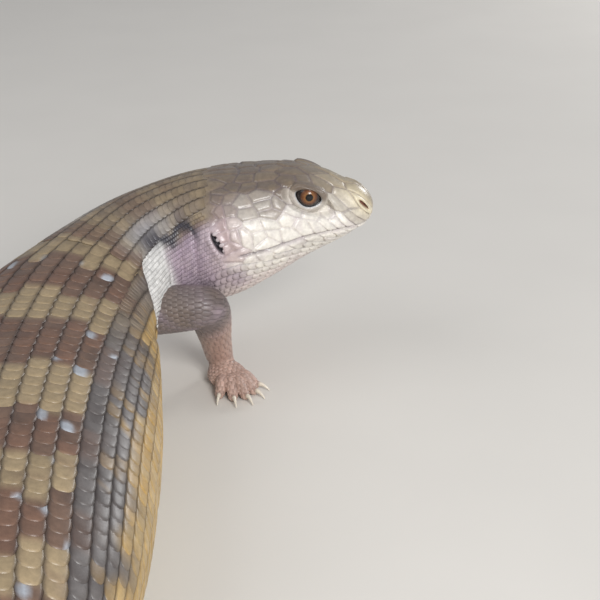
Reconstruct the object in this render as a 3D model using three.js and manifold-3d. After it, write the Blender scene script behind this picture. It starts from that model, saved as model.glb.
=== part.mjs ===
// Blue-tongued skink, a still life-size model of an adult with its head turned to its right.
// It stands on its feet, belly and tail. Millimetres, +Z up, the head end towards +Y,
// with the origin under the middle of the animal at the level it stands on.
import * as THREE from "three";
import { mergeVertices } from "three/addons/utils/BufferGeometryUtils.js";
import Module from "manifold-3d";

const wasm = await Module();
wasm.setup();

// Driving sizes
const BODY_LENGTH = 500; // snout to tail tip, along the back
const GAP = 0.3; // kept between solids that touch
const MIDDLE_X = -59.376; // the animal's middle, from the place where its course starts
const MIDDLE_Y = 218.747;
const SNOUT = { x: 22.8, y: 412 };

const EYE = { s: 18.9, across: 8.5, up: 6.9, radius: 4.6 };
const LIDS = { across: 8.5, long: 7.2, wide: 5.7, tall: 5.6, openLong: 4.5, openTall: 3.1, cut: 12 };
const MOUTH = { cornerAt: 43, front: -5.8, rise: 4.3, lift: 1.6, liftTo: 5, slit: 0.55, depth: 1.5, ahead: 3, wide: 40 };
const EAR = { s: 49.8, angle: 78, long: 4.5, wide: 1.3, depth: 3.2, tilt: 0.31, out: 0.4 };
const NOSTRIL = { s: 2.8, angle: 82, radius: 0.95, depth: 1.6, out: 0.3 };
const SHIELD = {
  height: 0.45, edge: 0.32, root: 0.8, bevel: 0.25, groove: 0.4,
  reach: 3.7, stretch: 1.25, front: 2, under: 158, shortest: 0.5,
};

// Heading of the head end (degrees from +X), height of the axis, and forward tilt (degrees)
const COURSE = [
  { s: 0, heading: 0, height: 56.5, tilt: 14 },
  { s: 20, heading: 0, height: 55.2, tilt: 14 },
  { s: 35, heading: 0, height: 51.2, tilt: 14 },
  { s: 55, heading: 8, height: 45.5, tilt: 14 },
  { s: 73, heading: 29, height: 41.5, tilt: 13 },
  { s: 93, heading: 56, height: 36.0, tilt: 12 },
  { s: 117, heading: 76, height: 31.0, tilt: 9 },
  { s: 143, heading: 86, height: 27.6, tilt: 6 },
  { s: 194, heading: 92, height: 24.6, tilt: 2 },
  { s: 234, heading: 95, height: 22.6, tilt: 3 },
  { s: 265, heading: 99, height: 20.0, tilt: 5 },
  { s: 300, heading: 107, height: 15.6, tilt: 5 },
  { s: 340, heading: 116, height: 12.8, tilt: 3 },
  { s: 400, heading: 103, height: 9.2, tilt: 3 },
  { s: 450, heading: 80, height: 6.0, tilt: 3 },
  { s: 500, heading: 62, height: 2.4, tilt: 2 },
];

// Half width, height above and below the axis, and squareness above and below (2 is an ellipse)
const GIRTH = [
  { s: 0, half: 5.4, above: 5.2, below: 4.8, crown: 2.2, keel: 2.2 },
  { s: 3.5, half: 6.6, above: 6.6, below: 6.4, crown: 2.2, keel: 2.2 },
  { s: 8, half: 8.9, above: 9.2, below: 8.9, crown: 2.3, keel: 2.2 },
  { s: 12, half: 10.8, above: 11.2, below: 10.8, crown: 2.4, keel: 2.2 },
  { s: 20, half: 14.2, above: 13.8, below: 13.4, crown: 2.5, keel: 2.2 },
  { s: 28, half: 17.6, above: 15.8, below: 15.6, crown: 2.4, keel: 2.1 },
  { s: 36, half: 20.6, above: 17.3, below: 17.6, crown: 2.3, keel: 2.1 },
  { s: 46, half: 22.6, above: 18.9, below: 19.6, crown: 2.2, keel: 2.1 },
  { s: 56, half: 22.0, above: 19.6, below: 20.2, crown: 2.1, keel: 2.1 },
  { s: 70, half: 20.6, above: 19.4, below: 19.6, crown: 2.1, keel: 2.1 },
  { s: 95, half: 24.0, above: 19.0, below: 20.0, crown: 2.1, keel: 2.2 },
  { s: 125, half: 32.0, above: 21.0, below: 22.6, crown: 2.1, keel: 2.3 },
  { s: 165, half: 38.0, above: 23.6, below: 26.0, crown: 2.1, keel: 2.5 },
  { s: 200, half: 39.0, above: 24.2, below: 25.4, crown: 2.1, keel: 2.6 },
  { s: 235, half: 36.0, above: 22.2, below: 23.4, crown: 2.1, keel: 2.6 },
  { s: 265, half: 27.0, above: 19.0, below: 20.6, crown: 2.1, keel: 2.4 },
  { s: 300, half: 18.6, above: 15.0, below: 16.2, crown: 2.1, keel: 2.2 },
  { s: 340, half: 15.6, above: 12.8, below: 13.4, crown: 2.1, keel: 2.2 },
  { s: 400, half: 11.0, above: 9.2, below: 9.8, crown: 2.0, keel: 2.2 },
  { s: 450, half: 7.0, above: 6.0, below: 6.5, crown: 2.0, keel: 2.2 },
  { s: 500, half: 2.6, above: 2.3, below: 2.8, crown: 2.0, keel: 2.0 },
];
const SNOUT_ROUND = 4.6;
const TAIL_ROUND = 4.0;

// Swellings and hollows: where along and round the body, how wide, how high
const FORMS = [
  { name: "jowl", s: 41, angle: 96, spreadS: 9, spreadA: 24, height: 1.9 },
  { name: "brow", s: 19, angle: 44, spreadS: 6, spreadA: 13, height: 0.9 },
  { name: "lore", s: 11, angle: 68, spreadS: 4, spreadA: 16, height: -0.8 },
  { name: "temple", s: 33, angle: 62, spreadS: 5, spreadA: 12, height: -0.7 },
  { name: "nape", s: 70, angle: 90, spreadS: 8, spreadA: 40, height: -0.8 },
  { name: "upper lip", s: 14, angle: 104, spreadS: 14, spreadA: 7, height: 0.5 },
  { name: "armpit", s: 112, angle: 112, spreadS: 7, spreadA: 24, height: -1.6 },
];

const DEGREE = Math.PI / 180;

// Smooth curve through a table's rows, by the slope between each row's neighbours
function along(table, key, s) {
  const last = table.length - 1;
  if (s <= table[0].s) return table[0][key];
  if (s >= table[last].s) return table[last][key];
  let i = 0;
  while (table[i + 1].s < s) i++;
  const slope = (k) => {
    const a = table[Math.max(k - 1, 0)];
    const b = table[Math.min(k + 1, last)];
    return (b[key] - a[key]) / (b.s - a.s);
  };
  const span = table[i + 1].s - table[i].s;
  const t = (s - table[i].s) / span;
  const t2 = t * t;
  const t3 = t2 * t;
  return (
    (2 * t3 - 3 * t2 + 1) * table[i][key] +
    (t3 - 2 * t2 + t) * span * slope(i) +
    (3 * t2 - 2 * t3) * table[i + 1][key] +
    (t3 - t2) * span * slope(i + 1)
  );
}

// The plan of the body's axis, one point a millimetre
const PLAN = [{ x: SNOUT.x, y: SNOUT.y }];
for (let s = 0; s < BODY_LENGTH; s++) {
  const heading = along(COURSE, "heading", s + 0.5) * DEGREE;
  const fall = along(COURSE, "height", s + 1) - along(COURSE, "height", s);
  const step = Math.sqrt(1 - fall * fall);
  PLAN.push({ x: PLAN[s].x - Math.cos(heading) * step, y: PLAN[s].y - Math.sin(heading) * step });
}

// A point given by how far behind the snout, how far to the animal's right and how far above the axis
function place(s, across, up) {
  const heading = along(COURSE, "heading", s) * DEGREE;
  const tilt = along(COURSE, "tilt", s) * DEGREE;
  const forward = [Math.cos(heading) * Math.cos(tilt), Math.sin(heading) * Math.cos(tilt), Math.sin(tilt)];
  const right = [Math.sin(heading), -Math.cos(heading), 0];
  const above = [-Math.cos(heading) * Math.sin(tilt), -Math.sin(heading) * Math.sin(tilt), Math.cos(tilt)];
  const i = Math.min(Math.max(Math.floor(s), 0), BODY_LENGTH - 1);
  const t = Math.min(Math.max(s - i, 0), 1);
  const beyond = s - i - t;
  const axis = [
    PLAN[i].x + (PLAN[i + 1].x - PLAN[i].x) * t,
    PLAN[i].y + (PLAN[i + 1].y - PLAN[i].y) * t,
    along(COURSE, "height", s),
  ];
  return new THREE.Vector3(
    ...axis.map((v, k) => v - forward[k] * beyond + right[k] * across + above[k] * up),
  );
}

// How far across and up the skin lies at an angle round the body: 0 is the back, 90 the right side
function outline(s, angle, grow = 0) {
  const side = Math.sin(angle);
  const rise = Math.cos(angle);
  const power = 2 / along(GIRTH, rise > 0 ? "crown" : "keel", s);
  const nose = Math.min(Math.max(1 - s / SNOUT_ROUND, 0), 1);
  const end = Math.min(Math.max(1 - (BODY_LENGTH - s) / TAIL_ROUND, 0), 1);
  const round = Math.sqrt(Math.max(1 - nose * nose, 0.0004)) * Math.sqrt(Math.max(1 - end * end, 0.0004));
  const half = along(GIRTH, "half", s) * round;
  const tall = along(GIRTH, rise > 0 ? "above" : "below", s) * round;
  const across = Math.sign(side) * Math.abs(side) ** power * half;
  const up = Math.sign(rise) * Math.abs(rise) ** power * tall;
  const turn = Math.abs(((angle / DEGREE + 180) % 360) - 180);
  let swell = grow;
  for (const form of FORMS) {
    const ds = (s - form.s) / form.spreadS;
    const da = (turn - form.angle) / form.spreadA;
    swell += form.height * Math.exp(-0.5 * (ds * ds + da * da)) * round;
  }
  const out = new THREE.Vector2(across / half ** 2, up / tall ** 2).normalize();
  return [across + out.x * swell, up + out.y * swell];
}

// How far above the axis the lips meet
function mouthLevel(s) {
  return MOUTH.front + MOUTH.rise * (s / MOUTH.cornerAt) ** 2 + MOUTH.lift * Math.max(1 - s / MOUTH.liftTo, 0);
}

// The angle at which a distance round the skin from the crown is reached, to the right if positive
function angleFor(s, girth) {
  const step = 3 * DEGREE;
  let [across, up] = outline(s, 0);
  let walked = 0;
  for (let angle = step; angle <= Math.PI; angle += step) {
    const [nextAcross, nextUp] = outline(s, angle);
    const length = Math.hypot(nextAcross - across, nextUp - up);
    if (walked + length >= Math.abs(girth)) {
      return Math.sign(girth) * (angle - step + (step * (Math.abs(girth) - walked)) / length);
    }
    walked += length;
    [across, up] = [nextAcross, nextUp];
  }
  return Math.sign(girth) * Math.PI;
}

// A solid from rings of points, closed by a flat cap at each end
function loft(rings) {
  const n = rings[0].length;
  const points = rings.flat();
  const faces = [];
  for (let i = 0; i + 1 < rings.length; i++)
    for (let j = 0; j < n; j++) {
      const a = i * n + j;
      const b = i * n + ((j + 1) % n);
      faces.push(a, b, a + n, b, b + n, a + n);
    }
  for (const [ring, flip] of [[0, true], [rings.length - 1, false]]) {
    const middle = points.length;
    points.push(rings[ring].reduce((sum, p) => sum.add(p), new THREE.Vector3()).divideScalar(n));
    for (let j = 0; j < n; j++) {
      const pair = [ring * n + j, ring * n + ((j + 1) % n)];
      faces.push(middle, ...(flip ? pair.reverse() : pair));
    }
  }
  return closed(points, faces);
}

// A solid from points and triangles, with its faces turned outward
function closed(points, faces) {
  let volume = 0;
  for (let i = 0; i < faces.length; i += 3) {
    const [a, b, c] = [0, 1, 2].map((k) => points[faces[i + k]]);
    volume += a.dot(b.clone().cross(c));
  }
  const turned = volume < 0 ? faces.map((_, i) => faces[i - (i % 3) + (2 - (i % 3))]) : faces;
  return new wasm.Manifold(
    new wasm.Mesh({
      numProp: 3,
      vertProperties: new Float32Array(points.flatMap((p) => [p.x, p.y, p.z])),
      triVerts: new Uint32Array(turned),
    }),
  );
}

function fromGeometry(geometry, matrix = new THREE.Matrix4()) {
  const bare = geometry.clone().applyMatrix4(matrix);
  bare.deleteAttribute("normal");
  bare.deleteAttribute("uv");
  const merged = mergeVertices(bare, 1e-4);
  const p = merged.attributes.position;
  const points = Array.from({ length: p.count }, (_, i) => new THREE.Vector3().fromBufferAttribute(p, i));
  const index = [...merged.index.array];
  const faces = [];
  for (let i = 0; i < index.length; i += 3) {
    const three = index.slice(i, i + 3);
    if (new Set(three).size === 3) faces.push(...three);
  }
  return closed(points, faces);
}

const union = (solids) => solids.reduce((sum, solid) => sum.add(solid));
const largest = (solid) => solid.decompose().sort((a, b) => b.volume() - a.volume())[0];

// A frame whose X, Y and Z lie backwards, to one side and up at a place on the animal
function frameAt(s, across, up, side = 1) {
  const origin = place(s, across, up);
  const back = place(s + 0.5, across, up).sub(place(s - 0.5, across, up)).normalize();
  const outward = place(s, across + side, up).sub(origin).normalize();
  const rise = back.clone().cross(outward).normalize();
  if (rise.z < 0) rise.negate();
  return new THREE.Matrix4().makeBasis(back, outward, rise).setPosition(origin);
}

function ellipsoid(matrix, sx, sy, sz, wide = 16, tall = 12) {
  const scaled = matrix.clone().scale(new THREE.Vector3(sx, sy, sz));
  return fromGeometry(new THREE.SphereGeometry(1, wide, tall), scaled);
}

// A length of the body between two stations
function bodyLength(from, to, rings, sides, grow = 0, ease = (t) => t) {
  const made = [];
  for (let i = 0; i <= rings; i++) {
    const s = from + (to - from) * ease(i / rings);
    const ring = [];
    for (let j = 0; j < sides; j++) {
      const [across, up] = outline(s, (j / sides) * 2 * Math.PI, grow);
      const p = place(s, across, up);
      if (grow === 0) p.z = Math.max(p.z, 0); // the belly and tail lie flat on the floor
      ring.push(p);
    }
    made.push(ring);
  }
  return loft(made);
}

// Head
const HEAD_END = 60;
const HEAD_RINGS = 22;
const HEAD_SIDES = 28;

function mouthSlit(solid) {
  const rings = [];
  const steps = 8;
  for (let i = 0; i <= steps; i++) {
    const s = -MOUTH.ahead + ((MOUTH.cornerAt + MOUTH.ahead) * i) / steps;
    const level = mouthLevel(s);
    const half = MOUTH.slit / 2;
    rings.push([
      place(s, -MOUTH.wide, level - half),
      place(s, MOUTH.wide, level - half),
      place(s, MOUTH.wide, level + half),
      place(s, -MOUTH.wide, level + half),
    ]);
  }
  const inside = bodyLength(MOUTH.depth, HEAD_END, 16, HEAD_SIDES, -MOUTH.depth);
  return solid.subtract(loft(rings).subtract(inside));
}

function lidOpening(side) {
  const shape = new THREE.Shape();
  shape.moveTo(-LIDS.openLong, 0);
  shape.quadraticCurveTo(0, 2 * LIDS.openTall, LIDS.openLong, 0);
  shape.quadraticCurveTo(0, -2 * LIDS.openTall, -LIDS.openLong, 0);
  const slab = new THREE.ExtrudeGeometry(shape, { depth: LIDS.cut, bevelEnabled: false, curveSegments: 6 });
  slab.rotateX(-Math.PI / 2);
  return fromGeometry(slab, frameAt(EYE.s, side * (EYE.across + 1), EYE.up, side));
}

// Head shields, by the middle of each: behind the snout, and round the skin from the crown.
// Those off the midline are on both sides.
const SHIELDS = [
  [7, 0], [16.5, 0], [28.5, 0], [36.5, 0],
  [11, 4.2], [23, 3.3], [30.5, 6.3], [37.5, 5.8],
  [14.6, 8.6], [19, 9.2], [23.6, 9.6], [30, 12], [36.5, 11.7],
  [7.6, 9.8], [12.2, 13.8], [24.6, 16.4],
  [6.2, 17.2], [9.4, 19.3], [12.3, 21], [15.2, 23], [18.3, 25], [22.3, 25.8], [27.2, 28.6], [33, 30.8],
  [28, 19.2], [32.5, 16.2], [32.6, 22.4], [38.5, 21], [30.2, 24.8], [37, 26],
  [17, 31], [22, 33.6], [27.2, 35.6], [32.6, 37],
];

// What is left of a convex outline on the near side of a line
function clipped(corners, point, normal) {
  const depth = corners.map((c) => c.clone().sub(point).dot(normal));
  const kept = [];
  corners.forEach((corner, i) => {
    const next = (i + 1) % corners.length;
    if (depth[i] <= 0) kept.push(corner);
    if (depth[i] * depth[next] < 0) {
      kept.push(corner.clone().lerp(corners[next], depth[i] / (depth[i] - depth[next])));
    }
  });
  return kept;
}

// A shield's outline: all that is nearer to its middle than to any other's, less the groove between
function shieldOutline(middle, others) {
  const flatten = ([s, girth]) => new THREE.Vector2(s / SHIELD.stretch, girth);
  const here = flatten(middle);
  const sides = 8;
  let corners = Array.from({ length: sides }, (_, i) => {
    const a = ((i + 0.5) / sides) * 2 * Math.PI;
    return new THREE.Vector2(Math.cos(a), Math.sin(a)).multiplyScalar(SHIELD.reach).add(here);
  });
  corners = clipped(corners, new THREE.Vector2(SHIELD.front / SHIELD.stretch, 0), new THREE.Vector2(-1, 0));
  for (const other of others.map(flatten)) {
    const way = other.clone().sub(here);
    if (way.length() > 2 * SHIELD.reach || way.length() < 0.1) continue;
    const normal = way.clone().normalize();
    const point = here.clone().addScaledVector(way, 0.5).addScaledVector(normal, -SHIELD.groove / 2);
    corners = clipped(corners, point, normal);
  }
  const spaced = corners.filter((c, i) => c.distanceTo(corners[(i + 1) % corners.length]) > SHIELD.shortest);
  return { here, corners: spaced };
}

function shieldSolid(middle, others) {
  const { here, corners } = shieldOutline(middle, others);
  const onSkin = (flat, grow) => {
    const s = flat.x * SHIELD.stretch;
    const most = SHIELD.under * DEGREE;
    const angle = Math.min(Math.max(angleFor(s, flat.y), -most), most);
    return place(s, ...outline(s, angle, grow));
  };
  const n = corners.length;
  const inset = (c) => c.clone().sub(here).multiplyScalar(1 - SHIELD.bevel / SHIELD.reach).add(here);
  const points = [
    ...corners.map((c) => onSkin(c, -SHIELD.root)),
    ...corners.map((c) => onSkin(inset(c), SHIELD.edge)),
    onSkin(here, -SHIELD.root),
    onSkin(here, SHIELD.height),
  ];
  const faces = [];
  for (let i = 0; i < n; i++) {
    const j = (i + 1) % n;
    faces.push(i, j, n + i, j, n + j, n + i, 2 * n, j, i, 2 * n + 1, n + i, n + j);
  }
  return closed(points, faces);
}

function headSolid() {
  // Rings lie closer together towards the snout
  const nearer = (t) => 0.35 * t + 0.65 * t ** 1.6;
  let head = bodyLength(0, HEAD_END - GAP / 2, HEAD_RINGS, HEAD_SIDES, 0, nearer);
  for (const side of [1, -1]) {
    const lids = frameAt(EYE.s, side * LIDS.across, EYE.up, side);
    head = head.add(ellipsoid(lids, LIDS.long, LIDS.wide, LIDS.tall, 14, 8));
  }
  const shields = SHIELDS.flatMap(([s, girth]) => (girth ? [[s, girth], [s, -girth]] : [[s, 0]]));
  head = union([head, ...shields.map((middle) => shieldSolid(middle, shields))]);
  head = mouthSlit(head);
  for (const side of [1, -1]) {
    const socket = frameAt(EYE.s, side * EYE.across, EYE.up, side);
    const [earAcross, earUp] = outline(EAR.s, EAR.angle * DEGREE);
    const ear = frameAt(EAR.s, side * (earAcross + EAR.out), earUp, side);
    ear.multiply(new THREE.Matrix4().makeRotationY(side * EAR.tilt));
    const [noseAcross, noseUp] = outline(NOSTRIL.s, NOSTRIL.angle * DEGREE);
    const nostril = frameAt(NOSTRIL.s, side * (noseAcross + NOSTRIL.out), noseUp, side);
    head = head
      .subtract(ellipsoid(socket, EYE.radius + GAP, EYE.radius + GAP, EYE.radius + GAP, 12, 8))
      .subtract(lidOpening(side))
      .subtract(ellipsoid(ear, EAR.wide, EAR.depth, EAR.long, 10, 8))
      .subtract(ellipsoid(nostril, NOSTRIL.radius, NOSTRIL.depth, NOSTRIL.radius, 8, 6));
  }
  return largest(head);
}

// Limbs, by the places of their joints
const LIMBS = {
  right_fore: {
    root: [-60, 386, 29], bend: [-27.7, 385, 32.5], ankle: [-26, 401, 7.5], heading: -62, spread: 0.75,
    upper: [6.8, 7.4, 7.2, 6.7], lower: [6.5, 5.8, 4.7, 4.2], toes: [5.6, 7.6, 8.6, 8.2, 6.2], inner: 1,
  },
  left_fore: {
    root: [-70, 392, 28], bend: [-97, 397, 29], ankle: [-106, 412, 7.5], heading: 100, spread: 1,
    upper: [6.8, 7.4, 7.2, 6.7], lower: [6.5, 5.8, 4.7, 4.2], toes: [5.6, 7.6, 8.6, 8.2, 6.2], inner: -1,
  },
  right_hind: {
    root: [-62, 224, 17], bend: [-29, 237, 19], ankle: [-16, 217, 7.5], heading: 38, spread: 1,
    upper: [8.4, 9.0, 8.2, 7.2], lower: [7.0, 6.4, 5.0, 4.3], toes: [6.0, 8.4, 10.2, 11.2, 7.6], inner: 1,
  },
  left_hind: {
    root: [-72, 222, 17], bend: [-104, 226, 19], ankle: [-119, 205, 7.5], heading: 132, spread: 1,
    upper: [8.4, 9.0, 8.2, 7.2], lower: [7.0, 6.4, 5.0, 4.3], toes: [6.0, 8.4, 10.2, 11.2, 7.6], inner: -1,
  },
};
const PALM = { ahead: 4.5, long: 7.0, wide: 6.2, tall: 3.6, height: 3.1 };
const TOE = {
  fan: [48, 24, 2, -20, -46], start: 2.0, root: 5.2, bend: 0.35, knuckle: 3.8,
  tip: 1.3, thick: 1.9, thin: 1.35, end: 0.55, sides: 7,
};
const CLAW = {
  long: 4.2, thick: 0.85, tip: 0.18, drop: 1.3, rise: 0.55, closer: 0.2, flat: 0.8, lean: 0.5,
  steps: 3, sides: 5,
};

// A round-ended length of limb, its radii spaced evenly from one end to the other
function limbLength(from, to, radii, sides = 10) {
  const length = from.distanceTo(to);
  const profile = [new THREE.Vector2(0, -radii[0])];
  for (const a of [30, 60]) profile.push(ringPoint(radii[0], (a - 90) * DEGREE, 0));
  radii.forEach((r, i) => profile.push(new THREE.Vector2(r, (length * i) / (radii.length - 1))));
  const last = radii[radii.length - 1];
  for (const a of [30, 60]) profile.push(ringPoint(last, a * DEGREE, length));
  profile.push(new THREE.Vector2(0, length + last));
  const turn = new THREE.Quaternion().setFromUnitVectors(
    new THREE.Vector3(0, 1, 0),
    to.clone().sub(from).normalize(),
  );
  const matrix = new THREE.Matrix4().makeRotationFromQuaternion(turn).setPosition(from);
  return fromGeometry(new THREE.LatheGeometry(profile, sides), matrix);
}

function ringPoint(radius, angle, shift) {
  return new THREE.Vector2(radius * Math.cos(angle), shift + radius * Math.sin(angle));
}

// Everything on the far side of a plane, as a block larger than the animal
const BLOCK = 1200;
function beyondPlane(point, normal, shift) {
  const turn = new THREE.Quaternion().setFromUnitVectors(new THREE.Vector3(0, 0, 1), normal);
  const centre = point.clone().addScaledVector(normal, BLOCK / 2 + shift);
  const matrix = new THREE.Matrix4().makeRotationFromQuaternion(turn).setPosition(centre);
  return fromGeometry(new THREE.BoxGeometry(BLOCK, BLOCK, BLOCK), matrix);
}

const underFloor = beyondPlane(new THREE.Vector3(0, 0, 0), new THREE.Vector3(0, 0, -1), 0);

// Where a toe starts, bends and ends
function toeLine(limb, ankle, k) {
  const angle = (limb.heading + limb.inner * limb.spread * TOE.fan[k]) * DEGREE;
  const way = new THREE.Vector3(Math.cos(angle), Math.sin(angle), 0);
  const middle = limb.heading * DEGREE;
  const palm = ankle
    .clone()
    .add(new THREE.Vector3(Math.cos(middle), Math.sin(middle), 0).multiplyScalar(PALM.ahead));
  const root = palm.clone().addScaledVector(way, TOE.start).setZ(PALM.height);
  const knuckle = palm.clone().addScaledVector(way, TOE.root + limb.toes[k] * TOE.bend).setZ(TOE.knuckle);
  const tip = palm.clone().addScaledVector(way, TOE.root + limb.toes[k]).setZ(TOE.tip);
  return { way, root, knuckle, tip };
}

// A toe arched over its knuckle, with a blunt end
function toeSolid(toe) {
  const arch = new THREE.CatmullRomCurve3([toe.root, toe.knuckle, toe.tip]);
  const across = new THREE.Vector3(-toe.way.y, toe.way.x, 0);
  const steps = [0, 0.3, 0.55, 0.8, 1];
  const rings = steps.map((t) => {
    const centre = arch.getPoint(t);
    const above = across.clone().cross(arch.getTangent(t)).negate();
    return toeRing(centre, across, above, TOE.thick * (1 - t) + TOE.thin * t);
  });
  const end = arch.getTangent(1);
  const above = across.clone().cross(end).negate();
  rings.push(toeRing(toe.tip.clone().addScaledVector(end, TOE.thin), across, above, TOE.thin * TOE.end));
  return loft(rings);
}

function toeRing(centre, across, above, radius) {
  return Array.from({ length: TOE.sides }, (_, j) => {
    const a = (j / TOE.sides) * 2 * Math.PI;
    return centre
      .clone()
      .addScaledVector(across, radius * Math.cos(a))
      .addScaledVector(above, radius * Math.sin(a));
  });
}

// A claw that droops to its point
function clawSolid(toe) {
  const rings = [];
  const across = new THREE.Vector3(-toe.way.y, toe.way.x, 0);
  for (let i = 0; i <= CLAW.steps; i++) {
    const t = i / CLAW.steps;
    const radius = CLAW.thick * (1 - t) + CLAW.tip * t;
    const centre = toe.tip
      .clone()
      .addScaledVector(toe.way, CLAW.long * t + TOE.thin + GAP - CLAW.closer)
      .setZ(toe.tip.z + CLAW.rise - CLAW.drop * t * t);
    const lean = new THREE.Vector3(0, 0, 1).addScaledVector(toe.way, CLAW.lean * t).normalize();
    const ring = [];
    for (let j = 0; j < CLAW.sides; j++) {
      const a = (j / CLAW.sides) * 2 * Math.PI;
      ring.push(
        centre
          .clone()
          .addScaledVector(across, CLAW.flat * radius * Math.cos(a))
          .addScaledVector(lean, radius * Math.sin(a)),
      );
    }
    rings.push(ring);
  }
  return loft(rings);
}

// One leg and foot, parted at the bend and at the ankle
function limbSolids(limb) {
  const [root, bend, ankle] = [limb.root, limb.bend, limb.ankle].map((p) => new THREE.Vector3(...p));
  const heading = limb.heading * DEGREE;
  const foot = new THREE.Vector3(Math.cos(heading), Math.sin(heading), 0);
  const flat = new THREE.Matrix4()
    .makeRotationZ(heading)
    .setPosition(ankle.clone().addScaledVector(foot, PALM.ahead).setZ(PALM.height));
  const toes = TOE.fan.map((_, k) => toeLine(limb, ankle, k));
  const pieces = [
    limbLength(root, bend, limb.upper),
    limbLength(bend, ankle, limb.lower),
    ellipsoid(flat, PALM.long, PALM.wide, PALM.tall, 10, 6),
  ];
  for (const toe of toes) pieces.push(toeSolid(toe));
  const whole = union(pieces).subtract(underFloor);
  const upperWay = bend.clone().sub(root).normalize();
  const lowerWay = ankle.clone().sub(bend).normalize();
  const atBend = upperWay.clone().add(lowerWay).normalize();
  const atAnkle = lowerWay.clone().add(foot).normalize();
  const half = GAP / 2;
  const below = whole.subtract(beyondPlane(bend, atBend.clone().negate(), -half));
  const claws = toes.map(clawSolid);
  const end = below.subtract(beyondPlane(ankle, atAnkle.clone().negate(), -half));
  return {
    upper: largest(whole.subtract(beyondPlane(bend, atBend, -half))),
    lower: largest(below.subtract(beyondPlane(ankle, atAnkle, -half))),
    foot: largest(end),
    claws,
  };
}

// Colours and finish
const hide = (color, roughness = 0.45) => new THREE.MeshStandardMaterial({ color, roughness, metalness: 0 });
const HEAD_HIDE = hide("#b5a596");
const BACK_HIDE = hide("#8a684c");
const TAIL_HIDE = hide("#7a5d48");
const LIMB_HIDE = hide("#85766f");
const FOOT_HIDE = hide("#b3988a");
const IRIS = hide("#8c5230", 0.1);
const HORN = hide("#c8b8ab", 0.35);

const animal = new THREE.Group();

function addNode(name, solid, material) {
  const mesh = solid.getMesh();
  const geometry = new THREE.BufferGeometry();
  geometry.setAttribute("position", new THREE.BufferAttribute(new Float32Array(mesh.vertProperties), 3));
  geometry.setIndex(new THREE.BufferAttribute(new Uint32Array(mesh.triVerts), 1));
  geometry.computeVertexNormals();
  const made = new THREE.Mesh(geometry, material);
  made.name = name;
  animal.add(made);
}

// Where the body is parted, and how finely each length is made
const LENGTHS = [
  { name: "neck", to: 88, rings: 6, sides: 28, material: HEAD_HIDE },
  { name: "chest", to: 140, rings: 8, sides: 28, material: BACK_HIDE },
  { name: "belly", to: 215, rings: 9, sides: 28, material: BACK_HIDE },
  { name: "hips", to: 298, rings: 12, sides: 28, material: BACK_HIDE },
  { name: "tail_base", to: 370, rings: 9, sides: 20, material: TAIL_HIDE },
  { name: "tail_middle", to: 440, rings: 10, sides: 16, material: TAIL_HIDE },
  { name: "tail_tip", to: BODY_LENGTH, rings: 12, sides: 12, material: TAIL_HIDE },
];

addNode("head", headSolid(), HEAD_HIDE);
for (const [name, side] of [["eye_right", 1], ["eye_left", -1]]) {
  const ball = frameAt(EYE.s, side * EYE.across, EYE.up, side);
  addNode(name, ellipsoid(ball, EYE.radius, EYE.radius, EYE.radius, 14, 8), IRIS);
}
let from = HEAD_END;
for (const piece of LENGTHS) {
  const to = piece.to === BODY_LENGTH ? BODY_LENGTH : piece.to - GAP / 2;
  addNode(piece.name, bodyLength(from + GAP / 2, to, piece.rings, piece.sides), piece.material);
  from = piece.to;
}
// The length of the body that the legs are cut back from, a gap larger all round
const CLEARED = { from: 30, to: 330, rings: 70, sides: 48 };
const body = bodyLength(CLEARED.from, CLEARED.to, CLEARED.rings, CLEARED.sides, GAP);
for (const [name, limb] of Object.entries(LIMBS)) {
  const made = limbSolids(limb);
  addNode(name + "_upper", largest(made.upper.subtract(body)), LIMB_HIDE);
  addNode(name + "_lower", largest(made.lower.subtract(body)), LIMB_HIDE);
  addNode(name + "_foot", made.foot, FOOT_HIDE);
  made.claws.forEach((claw, k) => addNode(`${name}_claw_${k + 1}`, claw, HORN));
}

animal.position.set(-MIDDLE_X, -MIDDLE_Y, 0);

export default animal;
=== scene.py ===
"""A still, life-size blue-tongued skink, lying in a long bend with its head to the front."""
import math
from functools import lru_cache

import bpy
import numpy as np
from bpy.props import FloatProperty, FloatVectorProperty, PointerProperty
from mathutils.bvhtree import BVHTree
from mathutils.kdtree import KDTree
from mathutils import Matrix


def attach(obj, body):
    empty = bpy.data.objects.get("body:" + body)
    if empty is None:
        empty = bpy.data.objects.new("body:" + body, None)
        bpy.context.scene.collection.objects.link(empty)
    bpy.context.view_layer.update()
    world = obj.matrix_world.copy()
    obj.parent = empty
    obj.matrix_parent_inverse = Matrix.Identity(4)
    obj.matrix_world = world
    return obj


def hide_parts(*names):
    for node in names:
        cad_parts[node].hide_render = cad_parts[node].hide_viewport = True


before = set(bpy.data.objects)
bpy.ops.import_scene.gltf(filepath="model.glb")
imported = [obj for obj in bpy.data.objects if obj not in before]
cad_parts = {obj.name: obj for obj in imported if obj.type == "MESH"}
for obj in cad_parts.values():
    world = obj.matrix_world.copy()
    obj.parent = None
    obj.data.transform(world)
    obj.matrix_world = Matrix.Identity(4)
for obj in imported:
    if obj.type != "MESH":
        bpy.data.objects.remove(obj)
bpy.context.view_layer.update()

bl_info = {
    "name": "Blue-tongued skink",
    "version": (1, 0, 0),
    "blender": (4, 5, 0),
    "location": "3D View > Sidebar > Skink",
    "description": "Dresses the solids of a life-size skink with skin, scales, eyes and claws",
    "category": "Object",
}

# Units: the shape is worked out in millimetres, as in the solids, and Blender gets metres
MM = 0.001

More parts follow.
